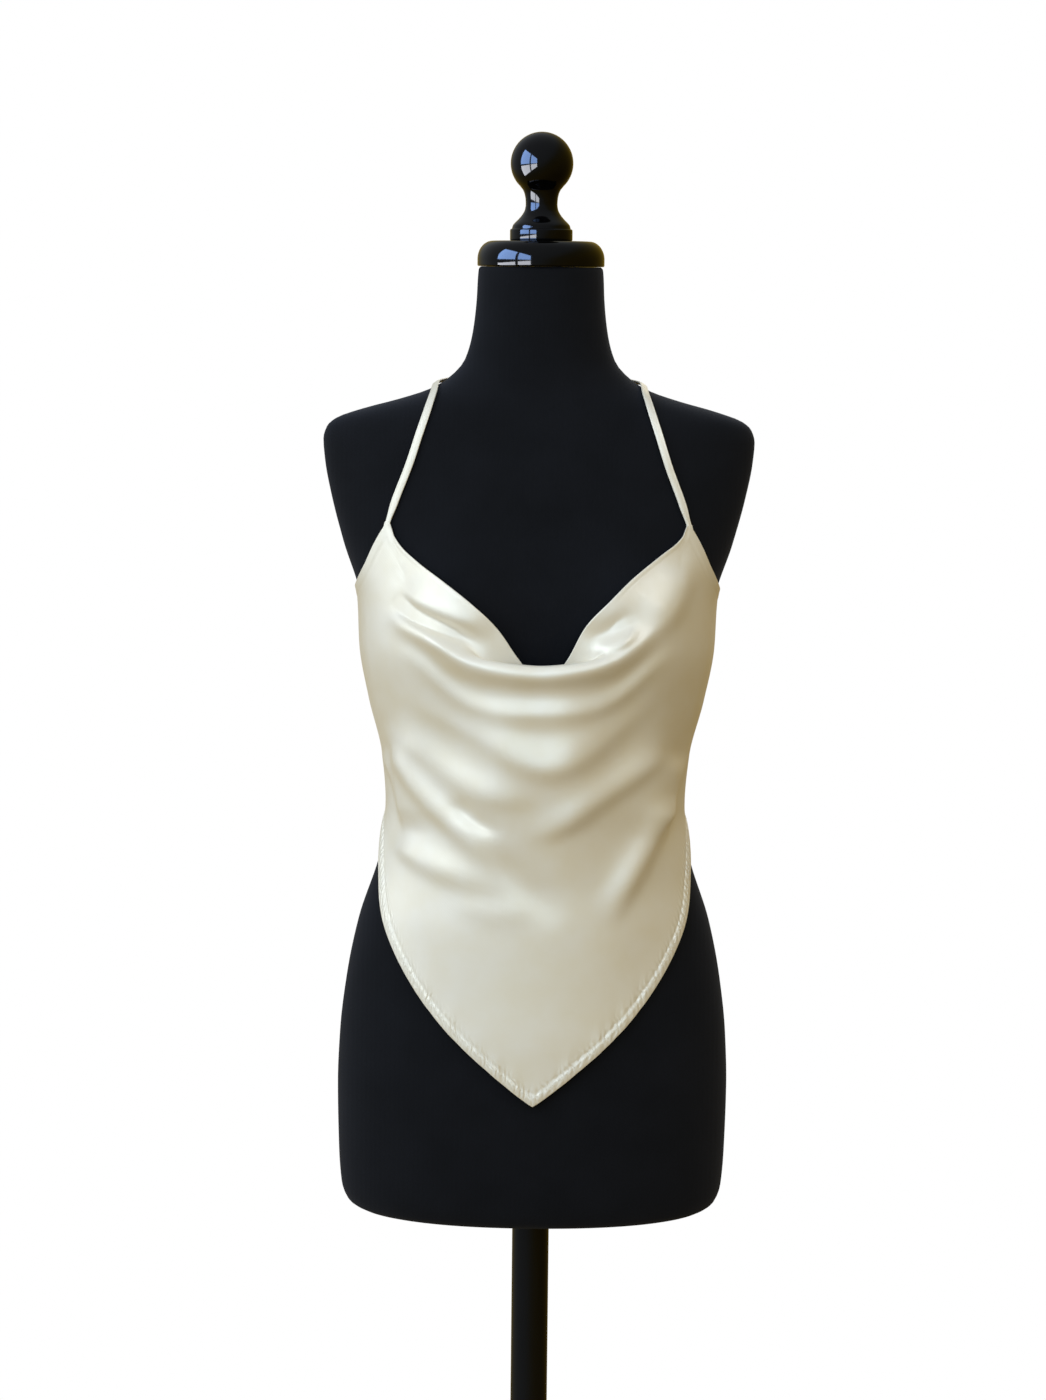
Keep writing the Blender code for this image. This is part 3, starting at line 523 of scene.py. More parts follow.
def panel_angles():
    """The panel's columns: fine over the front, coarser at the back, one on each side of each tip."""
    stops = (0.0, TIP_ANGLE - TIP_HALF_WIDTH, TIP_ANGLE + TIP_HALF_WIDTH, SIDE_ANGLE, CORNER_ANGLE)
    right = [0.0]
    for start, end in zip(stops[:-1], stops[1:]):
        step = COLUMN_STEP if end <= SIDE_ANGLE else BACK_COLUMN_STEP
        count = max(1, math.ceil((end - start) / step))
        right += [start + (end - start) * (k + 1) / count for k in range(count)]
    return np.array([-angle for angle in right[:0:-1]] + right)


def panel_middle():
    """(points, angles) of the panel's middle surface: rows from the neckline to the hem."""
    angles = panel_angles()
    rows = panel_rows()
    heights, outs = panel_lines(angles)
    lines = np.arange(len(LINES), dtype=float)
    z = spline(lines, heights, rows)
    out = spline(lines, outs, rows)
    angle = np.broadcast_to(angles, z.shape)
    skin = form_point(angle, z)
    front = np.clip(np.cos(np.radians(angle)) / 0.5, 0.0, 1.0)
    out = np.maximum(out + fold_relief(skin[..., 0], z) * front, LEAST_STAND_OFF)
    return skin + outward(angle, z) * out[..., None], angle


def grid_normals(points):
    """Outward directions over a grid whose rows run down and whose columns run to the right."""
    down = np.gradient(points, axis=0)
    right = np.gradient(points, axis=1)
    normal = np.cross(down, right)
    return normal / np.maximum(np.linalg.norm(normal, axis=-1, keepdims=True), 1e-12)


def distance_to_edge(points, edge):
    """How far each point lies from a line of points along an edge."""
    away = np.full(points.shape[:-1], np.inf)
    for point in edge:
        away = np.minimum(away, np.linalg.norm(points - point, axis=-1))
    return away


# ------------------------ making objects
def new_object(name, data):
    """A new object in the scene."""
    made = bpy.data.objects.new(name, data)
    bpy.context.scene.collection.objects.link(made)
    return made


def place(name, vertices, faces, finish, slot, angle=60):
    """A mesh object, shaded smooth, that rides on the one body and takes that finish."""
    mesh = bpy.data.meshes.new(name)
    mesh.from_pydata([tuple(v) for v in vertices], [], [tuple(f) for f in faces])
    mesh.shade_smooth()
    mesh.set_sharp_from_angle(angle=math.radians(angle))
    mesh.materials.append(finish)
    made = new_object(name, mesh)
    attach(made, "root")
    return made


def grid_faces(rows, columns, start=0, flip=False, ring=False):
    """Faces over rows by columns of vertices. ring closes each row on itself."""
    faces = []
    for i in range(rows - 1):
        for j in range(columns if ring else columns - 1):
            k = (j + 1) % columns
            a, b = start + i * columns + j, start + i * columns + k
            c, d = start + (i + 1) * columns + k, start + (i + 1) * columns + j
            faces.append((a, b, c, d) if flip else (a, d, c, b))
    return faces


def border(rows, columns):
    """The places of a grid's border, once round."""
    top = [(0, j) for j in range(columns)]
    right = [(i, columns - 1) for i in range(1, rows)]
    bottom = [(rows - 1, j) for j in range(columns - 2, -1, -1)]
    left = [(i, 0) for i in range(rows - 2, 0, -1)]
    return top + right + bottom + left


def shell(points, normals, half):
    """(vertices, faces) of a closed sheet with a rounded edge. half is half its thickness there."""
    rows, columns = points.shape[:2]
    outer = points + normals * half[..., None]
    inner = points - normals * half[..., None]
    vertices = np.concatenate([outer.reshape(-1, 3), inner.reshape(-1, 3)])
    faces = grid_faces(rows, columns) + grid_faces(rows, columns, start=rows * columns, flip=True)
    loop = border(rows, columns)
    inside = [(min(max(i, 1), rows - 2), min(max(j, 1), columns - 2)) for i, j in loop]
    lip = np.array([
        points[at] + (points[at] - points[near]) / max(np.linalg.norm(points[at] - points[near]), 1e-9)
        * half[at] * 0.8
        for at, near in zip(loop, inside)
    ])
    first = len(vertices)
    vertices = np.concatenate([vertices, lip])
    for k, (i, j) in enumerate(loop):
        m = (k + 1) % len(loop)
        this, following = i * columns + j, loop[m][0] * columns + loop[m][1]
        faces.append((this, following, first + m, first + k))
        faces.append((first + k, first + m, following + rows * columns, this + rows * columns))
    return vertices, faces


def tube(rows):
    """(vertices, faces) of a tube through rings of points, with a flat face at each end."""
    count = len(rows[0])
    faces = grid_faces(len(rows), count, ring=True)
    last = (len(rows) - 1) * count
    faces.append(tuple(range(count)))
    faces.append(tuple(last + j for j in range(count - 1, -1, -1)))
    return [point for row in rows for point in row], faces


def turned(name, profile, finish, slot, facets=96):
    """A piece turned about the Z axis from (radius, height) points that run down its outer side."""
    inner = [point for point in profile if point[0] > 1e-6]
    turns = np.radians(np.arange(facets) * 360.0 / facets)
    vertices = [(r * math.cos(a), r * math.sin(a), z) for r, z in inner for a in turns]
    faces = grid_faces(len(inner), facets, ring=True)
    vertices += [(0.0, 0.0, profile[0][1]), (0.0, 0.0, profile[-1][1])]
    last = (len(inner) - 1) * facets
    for j in range(facets):
        k = (j + 1) % facets
        faces.append((len(vertices) - 2, j, k))
        faces.append((len(vertices) - 1, last + k, last + j))
    return place(name, vertices, faces, finish, slot, angle=35)


# ------------------------ materials
def new_material(name):
    """(material, node tree, shader) of a fresh Principled material."""
    made = bpy.data.materials.new(name)
    made.use_nodes = True
    return made, made.node_tree, made.node_tree.nodes["Principled BSDF"]


def node(tree, kind, **settings):
    """A new node, with its inputs and its own settings given by name."""
    made = tree.nodes.new(kind)
    for name, value in settings.items():
        if name in made.inputs:
            made.inputs[name].default_value = value
        else:
            setattr(made, name, value)
    return made


def maths(tree, operation, *values):
    """A value worked out from sockets and plain numbers."""
    made = node(tree, "ShaderNodeMath", operation=operation)
    for socket, value in zip(made.inputs, values):
        if isinstance(value, float):
            socket.default_value = value
        else:
            tree.links.new(value, socket)
    return made.outputs["Value"]


def own_place(tree, stretch=(1.0, 1.0, 1.0), turn=0.0):
    """The place on the object, in metres, stretched along the axes and turned about Y."""
    place_node = node(tree, "ShaderNodeTexCoord")
    mapping = node(tree, "ShaderNodeMapping", Scale=stretch, Rotation=(0.0, turn, 0.0))
    tree.links.new(place_node.outputs["Object"], mapping.inputs["Vector"])
    return mapping.outputs["Vector"]


def noise(tree, scale, detail=2.0, stretch=(1.0, 1.0, 1.0)):
    """A noise over the place on the object."""
    made = node(tree, "ShaderNodeTexNoise", Scale=scale, Detail=detail)
    tree.links.new(own_place(tree, stretch), made.inputs["Vector"])
    return made.outputs["Fac"]


def weave(tree, threads_per_metre, turn):
    """A fine diagonal of threads: a wave over the place on the object, turned by an angle."""
    wave = node(tree, "ShaderNodeTexWave", Scale=threads_per_metre / 20.0, Distortion=1.2, Detail=2.0)
    tree.links.new(own_place(tree, turn=turn), wave.inputs["Vector"])
    return wave.outputs["Fac"]


def ramp(tree, value, stops):
    """A colour from a value, by (place, colour) stops."""
    made = node(tree, "ShaderNodeValToRGB")
    while len(made.color_ramp.elements) < len(stops):
        made.color_ramp.elements.new(0.5)
    for element, (where, colour) in zip(made.color_ramp.elements, stops):
        element.position = where
        element.color = (*colour, 1.0)
    tree.links.new(value, made.inputs["Fac"])
    return made.outputs["Color"]


def levels_ramp(tree, value, stops):
    """A grey from a value, by (place, level) stops."""
    return ramp(tree, value, [(where, (level, level, level)) for where, level in stops])


def bump(tree, shader, layers):
    """Chains bumps of (height value, distance in metres, strength) into the shader's normal."""
    before = None
    for value, distance, strength in layers:
        made = node(tree, "ShaderNodeBump", Distance=distance, Strength=strength)
        tree.links.new(value, made.inputs["Height"])
        if before is not None:
            tree.links.new(before, made.inputs["Normal"])
        before = made.outputs["Normal"]
    tree.links.new(before, shader.inputs["Normal"])


def set_looks(tree, shader, colour, rough, plain):
    """Feeds the colour and the roughness, either a socket or a number, and sets the plain inputs."""
    tree.links.new(colour, shader.inputs["Base Color"])
    if isinstance(rough, float):
        shader.inputs["Roughness"].default_value = rough
    else:
        tree.links.new(rough, shader.inputs["Roughness"])
    for name, value in plain.items():
        shader.inputs[name].default_value = value


def hem_puckers(tree):
    """Small slanting gathers across the turned hem, from the places along it and away from it."""
    places = node(tree, "ShaderNodeUVMap", uv_map=HEM_PLACES)
    split = node(tree, "ShaderNodeSeparateXYZ")
    tree.links.new(places.outputs["UV"], split.inputs["Vector"])
    along, away = split.outputs["X"], split.outputs["Y"]
    drift = maths(tree, "MULTIPLY_ADD", noise(tree, 75.0), PUCKER_DRIFT)
    slant = maths(tree, "MULTIPLY_ADD", away, PUCKER_SLANT, drift)
    phase = maths(tree, "MULTIPLY_ADD", along, 2 * math.pi / PUCKER_STEP, slant)
    return maths(tree, "MULTIPLY", maths(tree, "SINE", phase), levels_ramp(tree, away, PUCKER_FADE))


def make_satin(name, hemmed):
    """Ivory satin: a smooth lustrous face with soft highlights, and gathers where it has a hem."""
    made, tree, shader = new_material(name)
    patches = noise(tree, 34.0, detail=3.0)
    colour = ramp(tree, patches, [(0.3, (0.840, 0.770, 0.622)), (0.7, (0.862, 0.805, 0.688))])
    rough = levels_ramp(tree, noise(tree, 160.0, detail=4.0), [(0.2, 0.40), (0.8, 0.50)])
    set_looks(tree, shader, colour, rough, {
        "Metallic": 0.30,
        "Coat Weight": 0.35,
        "Coat Roughness": 0.38,
        "Specular IOR Level": 0.85,
        "Specular Tint": (1.0, 0.95, 0.86, 1.0),
        "Sheen Weight": 0.20,
        "Sheen Roughness": 0.45,
        "Sheen Tint": (1.0, 0.96, 0.88, 1.0),
    })
    slub = noise(tree, 420.0, detail=3.0, stretch=(1.0, 1.0, 0.25))
    grain = noise(tree, 1500.0)
    threads = weave(tree, 3600.0, 0.785)
    hem = [(hem_puckers(tree), 0.0010, 0.40)] if hemmed else []
    bump(tree, shader, hem + [(slub, 0.00006, 0.55), (grain, 0.00003, 0.6), (threads, 0.00002, 0.5)])
    return made


def make_thread():
    """Ivory polyester thread, a little duller than the satin."""
    made, tree, shader = new_material("ivory_thread")
    twist = noise(tree, 2600.0, detail=1.0)
    colour = ramp(tree, twist, [(0.3, (0.74, 0.70, 0.58)), (0.7, (0.82, 0.78, 0.66))])
    set_looks(tree, shader, colour, 0.55, {})
    return made


def make_jersey():
    """Matt black knit: fine columns of stitches under a soft bloom."""
    made, tree, shader = new_material("black_jersey")
    patches = noise(tree, 22.0, detail=4.0)
    colour = ramp(tree, patches, [(0.3, (0.0027, 0.0030, 0.0041)), (0.75, (0.0046, 0.0050, 0.0068))])
    set_looks(tree, shader, colour, 0.86, {
        "Specular IOR Level": 0.12,
        "Sheen Weight": 0.06,
        "Sheen Roughness": 0.55,
        "Sheen Tint": (0.55, 0.62, 0.85, 1.0),
    })
    knit = weave(tree, 1500.0, 0.0)
    fuzz = noise(tree, 900.0, detail=4.0)
    bump(tree, shader, [(knit, 0.00008, 0.5), (fuzz, 0.00010, 0.5)])
    return made


def make_gloss():
    """Polished black lacquer, with the slightest waviness and a few hazy wear marks."""
    made, tree, shader = new_material("gloss_black")
    rough = levels_ramp(tree, noise(tree, 45.0, detail=5.0), [(0.35, 0.035), (0.8, 0.10)])
    tone = noise(tree, 90.0)
    colour = ramp(tree, tone, [(0.3, (0.0012, 0.0012, 0.0014)), (0.7, (0.0024, 0.0024, 0.0028))])
    set_looks(tree, shader, colour, rough, {
        "Specular IOR Level": 0.13,
        "Coat Weight": 0.05,
        "Coat Roughness": 0.03,
    })
    bump(tree, shader, [(noise(tree, 60.0, detail=1.0), 0.0002, 0.12)])
    return made


def make_stand_paint():
    """Semi-gloss black paint on metal, with a fine orange peel and a little dust and rubbing."""
    made, tree, shader = new_material("stand_black")
    wear = noise(tree, 70.0, detail=6.0, stretch=(1.0, 1.0, 0.2))
    rough = levels_ramp(tree, wear, [(0.35, 0.24), (0.75, 0.40)])
    colour = ramp(tree, wear, [(0.3, (0.0030, 0.0033, 0.0042)), (0.8, (0.0062, 0.0067, 0.0082))])
    set_looks(tree, shader, colour, rough, {"Specular IOR Level": 0.15})
    bump(tree, shader, [(noise(tree, 700.0), 0.00006, 0.35)])
    return made


# ------------------------ the form and its stand
def make_torso(jersey):
    """The jersey cover over the whole form, as a stack of oval rings."""
    levels = np.transpose(FORM_SECTIONS)[0]
    heights = [levels[0]]
    for low, high in zip(levels[:-1], levels[1:]):
        count = max(3, math.ceil((high - low) / RING_STEP))
        heights += [low + (high - low) * (k + 1) / count for k in range(count)]
    angles = np.arange(FORM_FACETS) * 360.0 / FORM_FACETS
    rows = [form_point(angles, np.full(FORM_FACETS, height)) for height in heights[::-1]]
    made = place("torso_cover", *tube(rows), jersey, "jersey", angle=70)
    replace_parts(made, "torso")


def make_cap(gloss):
    """The lacquered cap on the neck: a flat top that rolls over into an upright side."""
    low_corner, high_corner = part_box("neck_cap")
    low, high, radius = low_corner.z, high_corner.z, high_corner.x
    shoulder = [
        (radius - CAP_SHOULDER_REACH * (1 - r), high - CAP_SHOULDER_DROP * (1 - h))
        for r, h in arc((0.0, 0.0), 1.0, 90, 0, 30)
    ]
    foot = arc((radius - CAP_FOOT_EDGE, low + CAP_FOOT_EDGE), CAP_FOOT_EDGE, 0, -90, 7)
    profile = [(0.0, high), (radius * 0.5, high)] + shoulder + foot + [(0.0, low)]
    made = turned("neck_cap_lacquered", profile, gloss, "gloss_black")
    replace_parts(made, "neck_cap")
    return made


def make_finial(gloss):
    """The lacquered finial: a ball on a waisted neck and a low round foot."""
    low_corner, high_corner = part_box("finial")
    low, top, foot = low_corner.z, high_corner.z, high_corner.x
    ball = top - BALL_RADIUS
    rises, radii = np.transpose(FINIAL_NECK)
    under = math.degrees(math.atan2(ball - low - rises[-1], radii[-1]))
    sphere = arc((0.0, ball), BALL_RADIUS, 90, -under, 44)[1:-1]
    climb = np.linspace(rises[-1], rises[0], 48)
    neck = list(zip(smooth(rises, radii, climb), low + climb))
    edge, small = FINIAL_FOOT_EDGE, 0.0010
    rim = arc((foot - edge, low + FINIAL_FOOT_HEIGHT - edge), edge, 90, 0, 9)
    rim += arc((foot - small, low + small), small, 0, -90, 5)
    profile = [(0.0, top)] + sphere + neck + rim + [(0.0, low)]
    made = turned("finial_lacquered", profile, gloss, "gloss_black")
    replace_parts(made, "finial")
    return made


def make_pole(paint):
    low_corner, high_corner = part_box("pole")
    low, high, radius = low_corner.z, high_corner.z, high_corner.x
    chamfer, rings = 0.0006, 8
    profile = [(0.0, high), (radius - chamfer, high), (radius, high - chamfer)]
    profile += [(radius, low + (high - low) * (rings - 1 - k) / rings) for k in range(rings)]
    made = turned("pole_painted", profile + [(0.0, low)], paint, "stand_black")
    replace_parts(made, "pole")
    return made


def make_base(paint):
    """The round base, which slopes up to the socket that holds the pole."""
    high_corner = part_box("base")[1]
    radius, high = high_corner.x, high_corner.z
    socket, edge = BASE_SOCKET_RADIUS, BASE_EDGE_HEIGHT
    slope_radius = (socket, socket + 0.0010, socket + 0.0080, radius * 0.5, radius - 0.0120)
    slope_height = (high - 0.003, high - 0.012, high - 0.018, edge + 0.005, edge + 0.0005)
    steps = np.linspace(0, 4, 33)
    slope = list(zip(smooth(range(5), slope_radius, steps), smooth(range(5), slope_height, steps)))
    lip = arc((socket - 0.003, high - 0.003), 0.003, 90, 10, 6)
    rim = arc((radius - 0.0050, edge - 0.0050), 0.0050, 80, 0, 9)
    profile = [(0.0, high)] + lip + slope + rim + [(radius, 0.0015), (radius - 0.0015, 0.0), (0.0, 0.0)]
    made = turned("base_painted", profile, paint, "stand_black", facets=160)
    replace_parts(made, "base")
    return made


# ------------------------ the top
def hem_relief(angle, hem_away, top_away, walked):
    """How far the turned hem's slack, its puffed band and its grooves stand out of the panel."""
    groove = np.exp(-(((hem_away - HEM_BAND) / GROOVE_WIDTH) ** 2))
    beyond = np.abs(angle) > TIP_ANGLE
    groove_top = np.exp(-(((top_away - HEM_BAND) / GROOVE_WIDTH) ** 2)) * beyond
    low_part = ease(np.cos(np.radians(angle)), 0.70, 0.92)
    slack = (
        np.sin(walked * 2 * math.pi / SLACK_STEPS[0] + 1.7 * np.sin(walked * 31.0))
        + 0.7 * np.sin(walked * 2 * math.pi / SLACK_STEPS[1] + 2.0 * np.sin(walked * 23.0) + 1.0)
    )
    near = np.exp(-(((hem_away - HEM_BAND * 0.9) / SLACK_REACH) ** 2))
    puffed = np.sin(np.clip(hem_away / HEM_BAND, 0.0, 1.0) * math.pi)
    raised = SLACK_HEIGHT * slack * near * low_part + PUFF_HEIGHT * puffed
    return raised - GROOVE_DEPTH * groove - TOP_GROOVE_DEPTH * groove_top


def add_hem_places(made, walked, hem_away):
    """A UV layer that holds, in metres, the place along the hem and the distance from it."""
    along = np.broadcast_to(walked, hem_away.shape)
    by_vertex = np.stack([along, hem_away], axis=-1).reshape(-1, 2)
    by_lip = np.array([(along[at], hem_away[at]) for at in border(*hem_away.shape)])
    by_vertex = np.concatenate([by_vertex, by_vertex, by_lip])
    layer = made.data.uv_layers.new(name=HEM_PLACES)
    of_loop = np.empty(len(made.data.loops), np.int32)
    made.data.loops.foreach_get("vertex_index", of_loop)
    layer.data.foreach_set("uv", by_vertex[of_loop].astype(np.float32).ravel())


def make_panel(satin):
    """The panel, with its turned hem, its rolled neckline and the folded edges below the arms."""
    middle, angle = panel_middle()
    hem_away = distance_to_edge(middle, middle[-1])
    top_away = distance_to_edge(middle, middle[0])
    band = np.where(np.abs(angle) > TIP_ANGLE, HEM_BAND, NECK_BAND)
    on_hem = 1.0 - ease(hem_away, HEM_BAND - 0.0012, HEM_BAND + 0.0004)
    on_top = 1.0 - ease(top_away, band - 0.0010, band + 0.0002)
    half = CLOTH_THICKNESS * (0.5 + FOLDED_EXTRA * np.maximum(on_hem, on_top))
    walked = walk_along(middle[-1])
    relief = hem_relief(angle, hem_away, top_away, walked)
    middle = middle + grid_normals(middle) * relief[..., None]
    made = place("halter_front_panel", *shell(middle, grid_normals(middle), half), satin, "satin", angle=80)
    add_hem_places(made, walked, hem_away)
    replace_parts(made, "front_panel")
    return made, middle


def stitch_line(middle):
    """(points, outward directions) of the hem's row of stitches, one for each of the panel's columns."""
    away = np.linalg.norm(middle - middle[-1], axis=-1)
    normals = grid_normals(middle)
    line, out = [], []
    for j in range(middle.shape[1]):
        order = np.argsort(away[:, j])
        line.append(on_line(away[order, j], middle[order, j], STITCH_LINE))
        out.append(on_line(away[order, j], normals[order, j], STITCH_LINE))
    return np.array(line), np.array(out)


def make_stitches(middle, thread):
    """A row of small stitches that holds the turned hem, sunk a little into the cloth."""
    line, out = stitch_line(middle)
    walked = walk_along(line)
    start, end = (walked[-1] * share for share in STITCHED_SHARES)
    centres = np.arange(start, end, STITCH_STEP)
    turns = np.radians(np.arange(6) * 60.0)
    vertices, faces = [], []
    for number, centre in enumerate(centres):
        first = len(vertices)
        wander = 0.00025 * math.sin(number * 2.3) + 0.00015 * math.sin(number * 0.7)
        spots = [on_line(walked, line, centre + share * STITCH_LENGTH) for share, _, _ in STITCH_SHAPE]
        up = unit(on_line(walked, out, centre))
        side = np.cross(unit(spots[-1] - spots[0]), up)
        for spot, (_, size, lift) in zip(spots, STITCH_SHAPE):
            core = spot + up * (CLOTH_THICKNESS * 0.8 + lift) + side * wander
            for turn in turns:
                way = side * math.cos(turn) + up * math.sin(turn)
                vertices.append(core + way * THREAD_RADIUS * size)
        faces += grid_faces(4, 6, start=first, ring=True)
        faces.append(tuple(first + j for j in range(6)))
        faces.append(tuple(first + 18 + j for j in range(5, -1, -1)))
    place("hem_stitches", vertices, faces, thread, "satin")


def ribbon(name, middle, out, width, satin):
    """A flat rouleau along middle: two rounded strands with a stitched furrow between them."""
    along = unit(np.gradient(middle, axis=0))
    across = unit(np.cross(out, along))
    up = np.cross(along, across)
    turns = np.radians(np.arange(24) * 15.0)
    wide, high = np.cos(turns), np.sin(turns)
    furrow = 1.0 - FURROW_DEPTH * np.exp(-(((wide - FURROW_PLACE) / FURROW_WIDTH) ** 2)) * (high > 0)
    side = np.sign(wide) * np.abs(wide) ** 0.75
    lift = np.sign(high) * np.abs(high) ** 0.60 * furrow
    rows = [
        m + a * (side[:, None] * width[i] / 2) + u * (lift[:, None] * STRAP_THICKNESS / 2)
        for i, (m, a, u) in enumerate(zip(middle, across, up))
    ]
    return place(name, *tube(rows), satin, "satin", angle=70)


def make_neck_strap(satin):
    """The rouleau from the left tip round the nape to the right tip, a little narrower at the tips."""
    right = np.array([(x, float(depth_at(x, z, side)), z) for x, z, side in NECK_ROUTE])
    left = right[:-1] * (-1, 1, 1)
    route = np.vstack([left, right[::-1]])
    walked = walk_along(route)
    stations = np.linspace(0.0, walked[-1], STRAP_STATIONS)
    middle = np.stack([smooth(walked, route[:, k], stations) for k in range(3)], axis=1)
    half_width, front, back = form_size(middle[:, 2])
    depth = np.where(middle[:, 1] < 0, front, back)
    slope = form_size(middle[:, 2] + 0.002)[0] - form_size(middle[:, 2] - 0.002)[0]
    out = unit(np.stack([
        np.sign(middle[:, 0]) * np.abs(middle[:, 0] / half_width) ** (SQUARENESS - 1) / half_width,
        np.sign(middle[:, 1]) * np.abs(middle[:, 1] / depth) ** (SQUARENESS - 1) / depth,
        -slope / 0.004 / half_width * np.abs(middle[:, 0] / half_width) ** SQUARENESS,
    ], axis=1))
    middle += out * (STRAP_STAND_OFF + STRAP_THICKNESS / 2)
    number = np.arange(len(middle))
    from_end = np.minimum(number, number[::-1]) * walked[-1] / len(middle)
    width = STRAP_WIDTH * (TIP_SHARE + (1 - TIP_SHARE) * ease(from_end, 0.004, 0.020))
    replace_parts(ribbon("neck_rouleau", middle, out, width, satin), "neck_strap")


def make_back_strap(satin):
    """The rouleau across the back waist, between the panel's side corners."""
    reach = 180.0 - CORNER_ANGLE - 0.25
    angles = np.linspace(180.0 - reach, 180.0 + reach, STRAP_STATIONS // 3)
    heights = np.full(len(angles), BACK_STRAP_HEIGHT)
    out = outward(angles, heights)
    middle = form_point(angles, heights) + out * (STRAP_STAND_OFF + STRAP_THICKNESS / 2)
    width = np.full(len(middle), STRAP_WIDTH)
    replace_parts(ribbon("back_rouleau", middle, out, width, satin), "back_strap")


# ------------------------ camera, light and floor
def make_camera():
    """The camera, whose sensor_width lies along the frame's longer side, its height."""
    lens = bpy.data.cameras.new("photo_camera")
    lens.sensor_width = SENSOR_HEIGHT
    lens.lens = CAMERA_LENS
    made = new_object("photo_camera", lens)
    ahead = Vector((0.0, math.cos(CAMERA_DOWN), -math.sin(CAMERA_DOWN)))
    right = Vector((1.0, 0.0, 0.0))
    up = right.cross(ahead)
    turn = Matrix.Rotation(CAMERA_ROLL, 3, ahead).inverted()
    right, up = turn @ right, turn @ up
    made.matrix_world = Matrix((
        (right.x, up.x, -ahead.x, CAMERA_ASIDE),
        (right.y, up.y, -ahead.y, -CAMERA_AWAY),
        (right.z, up.z, -ahead.z, CAMERA_HEIGHT),
        (0.0, 0.0, 0.0, 1.0),
    ))
    bpy.context.scene.camera = made


def area_light(name, place_at, aim, width, height, power, colour):
    light = bpy.data.lights.new(name, "AREA")
    light.shape = "RECTANGLE"
    light.size = width
    light.size_y = height
    light.energy = power
    light.color = colour
    made = new_object(name, light)
    made.location = place_at
    made.rotation_euler = (Vector(aim) - Vector(place_at)).to_track_quat("-Z", "Y").to_euler()
    made.visible_camera = False
    return made


def linked(light, things, state):
    """Lets a light fall only on these things (INCLUDE), or on all but them (EXCLUDE)."""
    group = bpy.data.collections.new(light.name + "_links")
    for thing in things:
        group.objects.link(thing)
    light.light_linking.receiver_collection = group
    for member in group.collection_objects:
        member.light_linking.link_state = state


def make_lights(polished, painted):
    """Soft lights on the cloth and the form, and the window that shows in the polished pieces."""
    for light in LIGHTS:
        linked(area_light(*light), polished + painted, "EXCLUDE")
    for low, high, tint in WINDOW_ROWS:
        for near, far in WINDOW_BAYS:
            name = f"pane_{low}_{near}"
            middle = Vector((WINDOW_X, (near + far) / 2, (low + high) / 2))
            aim = middle + Vector((1, 0, 0))
            width, height = near - far, high - low
            power = WINDOW_GLARE * math.pi * width * height
            pane = area_light(name, middle, aim, width, height, power, tint)
            pane.visible_diffuse = False
            linked(pane, polished, "INCLUDE")


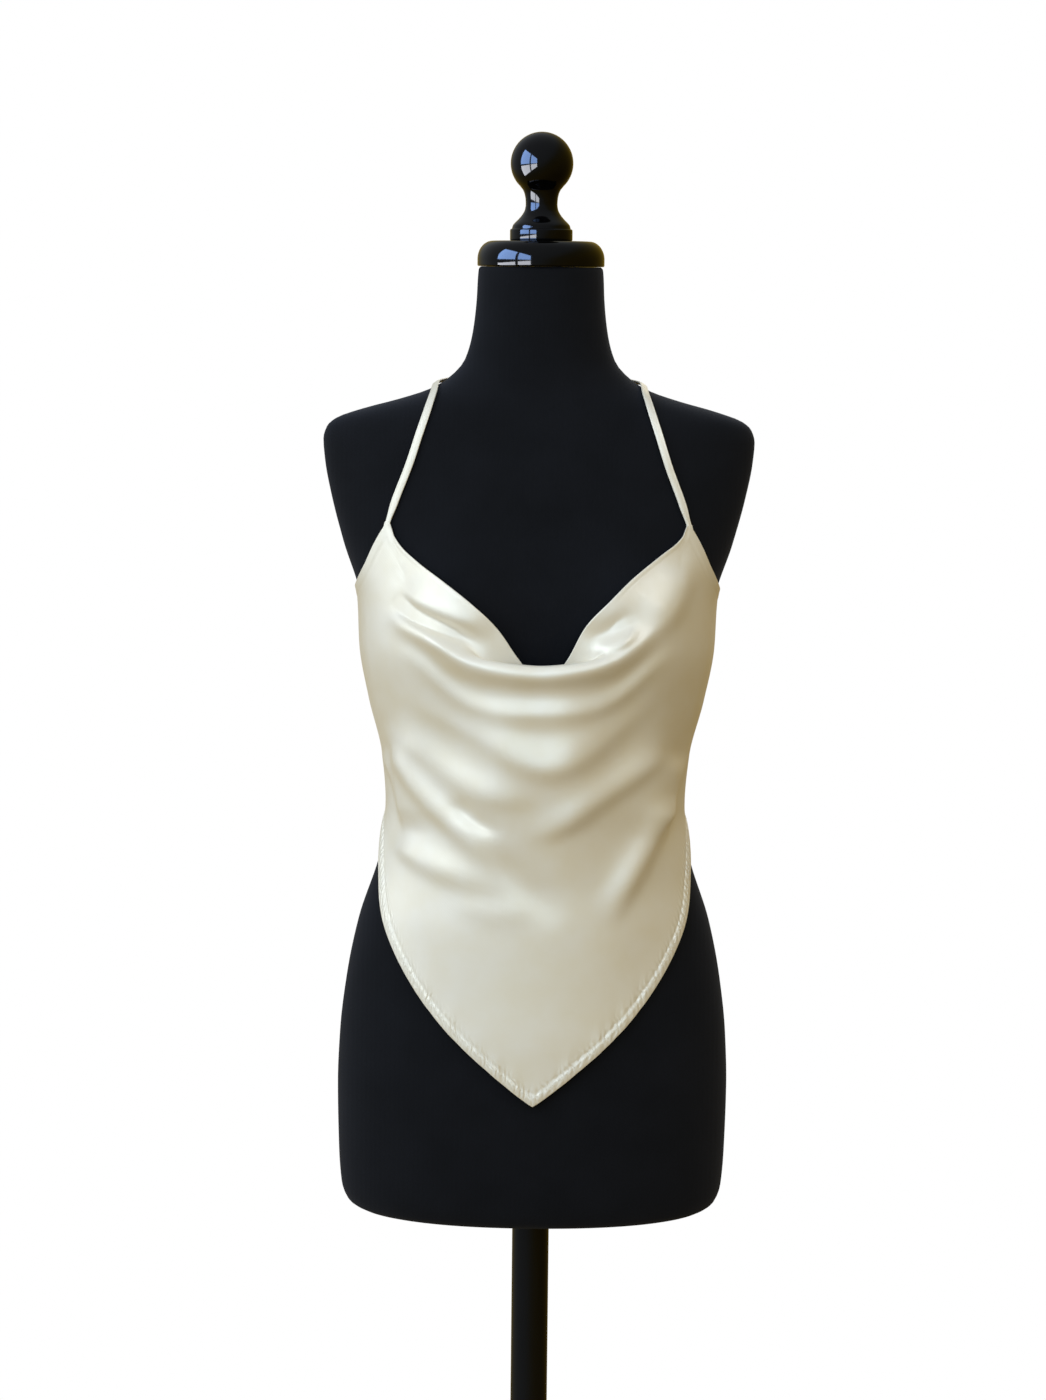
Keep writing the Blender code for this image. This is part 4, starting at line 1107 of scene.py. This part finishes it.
def make_world():
    """White to the camera, and for light a room that is bright on the left and dim on the right."""
    world = bpy.data.worlds.new("studio")
    bpy.context.scene.world = world
    world.use_nodes = True
    tree = world.node_tree
    room = tree.nodes["Background"]
    place_node = node(tree, "ShaderNodeTexCoord")
    towards = node(tree, "ShaderNodeVectorMath", operation="DOT_PRODUCT")
    towards.inputs[1].default_value = Vector(BRIGHT_SIDE).normalized()
    tree.links.new(place_node.outputs["Generated"], towards.inputs[0])
    share = node(tree, "ShaderNodeMapRange", **{"From Min": -1.0, "From Max": 1.0})
    tree.links.new(towards.outputs["Value"], share.inputs["Value"])
    tree.links.new(ramp(tree, share.outputs["Result"], ROOM_STOPS), room.inputs["Color"])
    ray = node(tree, "ShaderNodeLightPath")
    strength = maths(tree, "MULTIPLY_ADD", ray.outputs["Is Glossy Ray"], MIRRORED_ROOM - LIT_ROOM, LIT_ROOM)
    tree.links.new(strength, room.inputs["Strength"])
    white = node(tree, "ShaderNodeBackground", Color=(1.0, 1.0, 1.0, 1.0), Strength=1.0)
    mix = node(tree, "ShaderNodeMixShader")
    tree.links.new(ray.outputs["Is Camera Ray"], mix.inputs["Fac"])
    tree.links.new(room.outputs["Background"], mix.inputs[1])
    tree.links.new(white.outputs["Background"], mix.inputs[2])
    tree.links.new(mix.outputs["Shader"], tree.nodes["World Output"].inputs["Surface"])


def make_floor_finish():
    """A pale floor finish that glows more and more away from the middle, into the white surroundings."""
    finish, tree, shader = new_material("pale_floor")
    speck = noise(tree, 12.0, detail=3.0)
    colour = ramp(tree, speck, [(0.3, (0.84, 0.84, 0.83)), (0.7, (0.88, 0.88, 0.87))])
    set_looks(tree, shader, colour, 0.7, {})
    place_node = node(tree, "ShaderNodeTexCoord")
    length = node(tree, "ShaderNodeVectorMath", operation="LENGTH")
    tree.links.new(place_node.outputs["Object"], length.inputs[0])
    reach = dict(zip(("From Min", "From Max"), FLOOR_FADE))
    fade = node(tree, "ShaderNodeMapRange", interpolation_type="SMOOTHSTEP", **reach)
    tree.links.new(length.outputs["Value"], fade.inputs["Value"])
    glow = node(tree, "ShaderNodeEmission")
    mix = node(tree, "ShaderNodeMixShader")
    tree.links.new(fade.outputs["Result"], mix.inputs["Fac"])
    tree.links.new(shader.outputs["BSDF"], mix.inputs[1])
    tree.links.new(glow.outputs["Emission"], mix.inputs[2])
    tree.links.new(mix.outputs["Shader"], tree.nodes["Material Output"].inputs["Surface"])
    return finish


def make_floor():
    shape = bmesh.new()
    bmesh.ops.create_circle(shape, cap_ends=True, segments=96, radius=FLOOR_RADIUS)
    mesh = bpy.data.meshes.new("floor")
    shape.to_mesh(mesh)
    shape.free()
    mesh.materials.append(make_floor_finish())
    floor = new_object("floor", mesh)
    floor.location = (0.0, 0.0, -0.0005)
    floor.visible_diffuse = False
    floor.visible_glossy = False


def main():
    make_camera()
    make_world()
    make_floor()
    satin = make_satin("ivory_satin", hemmed=True)
    strap_satin = make_satin("ivory_satin_strap", hemmed=False)
    jersey, gloss, paint = make_jersey(), make_gloss(), make_stand_paint()
    make_torso(jersey)
    make_lights([make_cap(gloss), make_finial(gloss)], [make_pole(paint), make_base(paint)])
    panel, middle = make_panel(satin)
    make_stitches(middle, make_thread())
    make_neck_strap(strap_satin)
    make_back_strap(strap_satin)
    bpy.context.scene.view_settings.view_transform = "Standard"


main()
